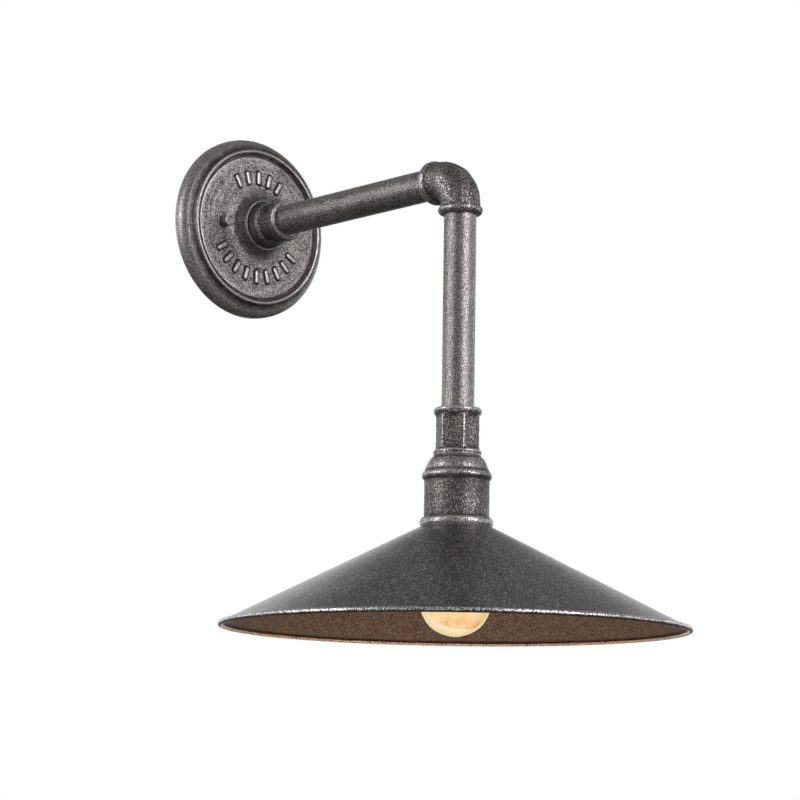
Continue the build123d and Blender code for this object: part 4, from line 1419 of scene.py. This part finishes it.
@dataclass
class Insides:
    """Pieces whose CAD shape is right and only need their finish."""

    finishes: tuple[tuple[Finish, tuple[str, ...]], ...] = (
        (Mottled("zinc_steel", (0.52, 0.53, 0.54, 1), (0.4, 0.41, 0.42, 1), 420.0, metal=1.0, rough=(0.28, 0.45)),
         ("mounting_strap", "mounting_studs", "stud_lock_nuts", "hub_lock_nut")),
        (Mottled("green_screw", (0.03, 0.2, 0.05, 1), (0.04, 0.28, 0.08, 1), 500.0, metal=0.4),
         ("ground_screw",)),
        (Mottled("foam_gasket", (0.02, 0.02, 0.021, 1), (0.035, 0.035, 0.036, 1), 1400.0, rough=(0.8, 0.95),
                 relief=0.0005),
         ("wall_gasket", "shade_gasket", "seal_washer_left", "seal_washer_right")),
        (Mottled("dark_ring", (0.02, 0.02, 0.022, 1), (0.03, 0.03, 0.031, 1), 700.0, rough=(0.5, 0.65)),
         ("shade_retainer",)),
        (Mottled("porcelain", (0.8, 0.78, 0.73, 1), (0.72, 0.7, 0.65, 1), 90.0, rough=(0.12, 0.22), coat=0.6),
         ("lamp_socket",)),
        (Mottled("socket_brass", (0.72, 0.52, 0.22, 1), (0.58, 0.4, 0.16, 1), 260.0, metal=1.0, rough=(0.25, 0.42)),
         ("screw_shell", "centre_contact", "socket_terminals", "bulb_base", "bulb_tip_contact")),
        (Mottled("black_wire", (0.012, 0.012, 0.012, 1), (0.02, 0.02, 0.02, 1)), ("line_wire",)),
        (Mottled("white_wire", (0.75, 0.74, 0.7, 1), (0.66, 0.65, 0.62, 1)), ("neutral_wire",)),
        (Mottled("bare_copper", (0.8, 0.38, 0.22, 1), (0.66, 0.29, 0.16, 1), 500.0, metal=1.0, rough=(0.25, 0.4)),
         ("wire_cores",)),
        (Mottled("black_glass", (0.008, 0.008, 0.01, 1), (0.014, 0.014, 0.016, 1), 200.0, rough=(0.08, 0.15)),
         ("bulb_insulator",)),
        (Glass("clear_glass"), ("bulb_stem",)),
        (HotWire("glowing_filament"), ("filament",)),
        (Mottled("support_wire", (0.5, 0.48, 0.45, 1), (0.4, 0.38, 0.36, 1), 900.0, metal=1.0, rough=(0.3, 0.4)),
         ("filament_leads", "filament_hooks")),
    )

    def build(self) -> None:
        """Dresses each CAD node that stays."""
        for finish, nodes in self.finishes:
            for name in nodes:
                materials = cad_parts[name].data.materials
                materials.clear()
                materials.append(finish.material())
                LOG.info("%s: %s", name, finish.name)


@dataclass
class SoftBox:
    """One soft light: where it stands, how large it is and how strong."""

    name: str
    place: Point
    size: Span
    watts: float
    spread: float = 80.0
    gloss: bool = True

    def build(self, aim: Vector) -> None:
        """Stands the light and turns it to the object.

        Args:
            aim: The point that it is turned to.
        """
        lamp = bpy.data.lights.new(self.name, "AREA")
        lamp.shape = "RECTANGLE"
        lamp.size, lamp.size_y = self.size
        lamp.energy = self.watts
        lamp.spread = math.radians(self.spread)
        stood = bpy.data.objects.new(self.name, lamp)
        stood.location = self.place
        stood.visible_camera = False
        stood.visible_glossy = self.gloss
        stood.rotation_euler = (aim - stood.location).to_track_quat("-Z", "Y").to_euler()
        bpy.context.scene.collection.objects.link(stood)
        LOG.info("%s: %.0f W", self.name, self.watts)


@dataclass
class Stage:
    """The floor, the white surround, the lights and the camera."""

    eye: Point = (-1.48476, -1.91055, -0.53060)
    aim: Point = (0.0342, -0.1756, -0.1695)
    roll: float = 0.92
    lens: float = 123.42
    clip_end: float = 20.0
    floor: float = -2.0
    floor_size: float = 6.0
    floor_finish: Finish = PaleFloor("pale_floor", (0.8, 0.8, 0.8, 1), (0.77, 0.77, 0.77, 1), 40.0)
    white: Colour = (1.0, 1.0, 1.0, 1.0)
    surround: float = 1.0
    bounce: Span = (0.1, 1.35)
    walls: Span = (-0.55, 0.95)
    base: Span = (-0.3, 0.0)
    roof: float = 0.26
    roof_span: Span = (0.22, 0.5)
    roof_tilt: Span = (-0.06, 0.03)
    tilt_span: Span = (-0.15, 0.15)
    lights: tuple[SoftBox, ...] = (
        SoftBox("left_softbox", (-1.5, 0.25, 0.3), (1.3, 1.6), 6.2),
        SoftBox("right_softbox", (0.2, -1.85, 0.25), (1.2, 1.6), 8.5),
        SoftBox("low_fill", (-1.0, -1.2, -0.95), (1.0, 0.6), 2.2, gloss=False),
    )

    def ground(self) -> None:
        """Lays the pale floor, below the light as if it hung on its wall."""
        blank = bmesh.new()
        place = Matrix.Translation((0, 0, self.floor))
        bmesh.ops.create_grid(blank, x_segments=8, y_segments=8, size=self.floor_size, matrix=place)
        mesh = bpy.data.meshes.new("floor")
        blank.to_mesh(mesh)
        blank.free()
        mesh.materials.append(self.floor_finish.material())
        laid = bpy.data.objects.new("floor", mesh)
        laid.visible_glossy = False
        bpy.context.scene.collection.objects.link(laid)

    def surroundings(self) -> None:
        """Sets a white background that lights like a tent: open to the camera, dark below."""
        world = bpy.data.worlds.new("studio")
        bpy.context.scene.world = world
        world.use_nodes = True
        graph = Graph(world.node_tree)
        way = graph.add("ShaderNodeTexCoord").outputs["Generated"]
        slot = Vector(self.eye) - Vector(self.aim)
        slot.z = 0.0
        slot.normalize()
        height = graph.split(way)[2]
        walls = graph.step(graph.dot(way, slot), *self.walls, 1.0, 0.0)
        tilt = graph.step(graph.dot(way, (-slot.y, slot.x, 0.0)), *self.tilt_span, *self.roof_tilt)
        roof = graph.step(graph.math("ADD", height, tilt), *self.roof_span, 1.0, self.roof)
        cloth = graph.math("MULTIPLY", walls, graph.step(height, *self.base), roof)
        lit = graph.step(cloth, 0.0, 1.0, *self.bounce)
        seen = graph.add("ShaderNodeLightPath").outputs["Is Camera Ray"]
        strength = graph.add("ShaderNodeMapRange", {0: seen, 3: lit, 4: self.surround}).outputs[0]
        graph.feed(world.node_tree.nodes["Background"], {"Color": self.white, "Strength": strength})
        bpy.context.scene.view_settings.view_transform = "Standard"

    def camera(self) -> None:
        """Stands the camera where the photograph was taken from."""
        lens = bpy.data.cameras.new("camera")
        lens.lens = self.lens
        lens.clip_end = self.clip_end
        stood = bpy.data.objects.new("camera", lens)
        stood.location = self.eye
        look = (Vector(self.aim) - stood.location).to_track_quat("-Z", "Y").to_matrix().to_4x4()
        turned = look @ Matrix.Rotation(math.radians(self.roll), 4, "Z")
        stood.rotation_euler = turned.to_euler()
        bpy.context.scene.collection.objects.link(stood)
        bpy.context.scene.camera = stood

    def build(self) -> None:
        """Builds the whole stage."""
        self.ground()
        self.surroundings()
        self.camera()
        middle = (CAD_BOX[0] + CAD_BOX[1]) / 2
        for light in self.lights:
            light.build(middle)


def main() -> None:
    """Builds the light piece by piece, then its stage."""
    logging.basicConfig(level=logging.INFO, format="%(relativeCreated)d ms %(message)s")
    for part in (WallMount(), PipeArm(), LampHead(), Shade(), Bulb(), Insides(), Stage()):
        LOG.info("building %s", type(part).__name__)
        part.build()


if __name__ == "__main__":
    main()
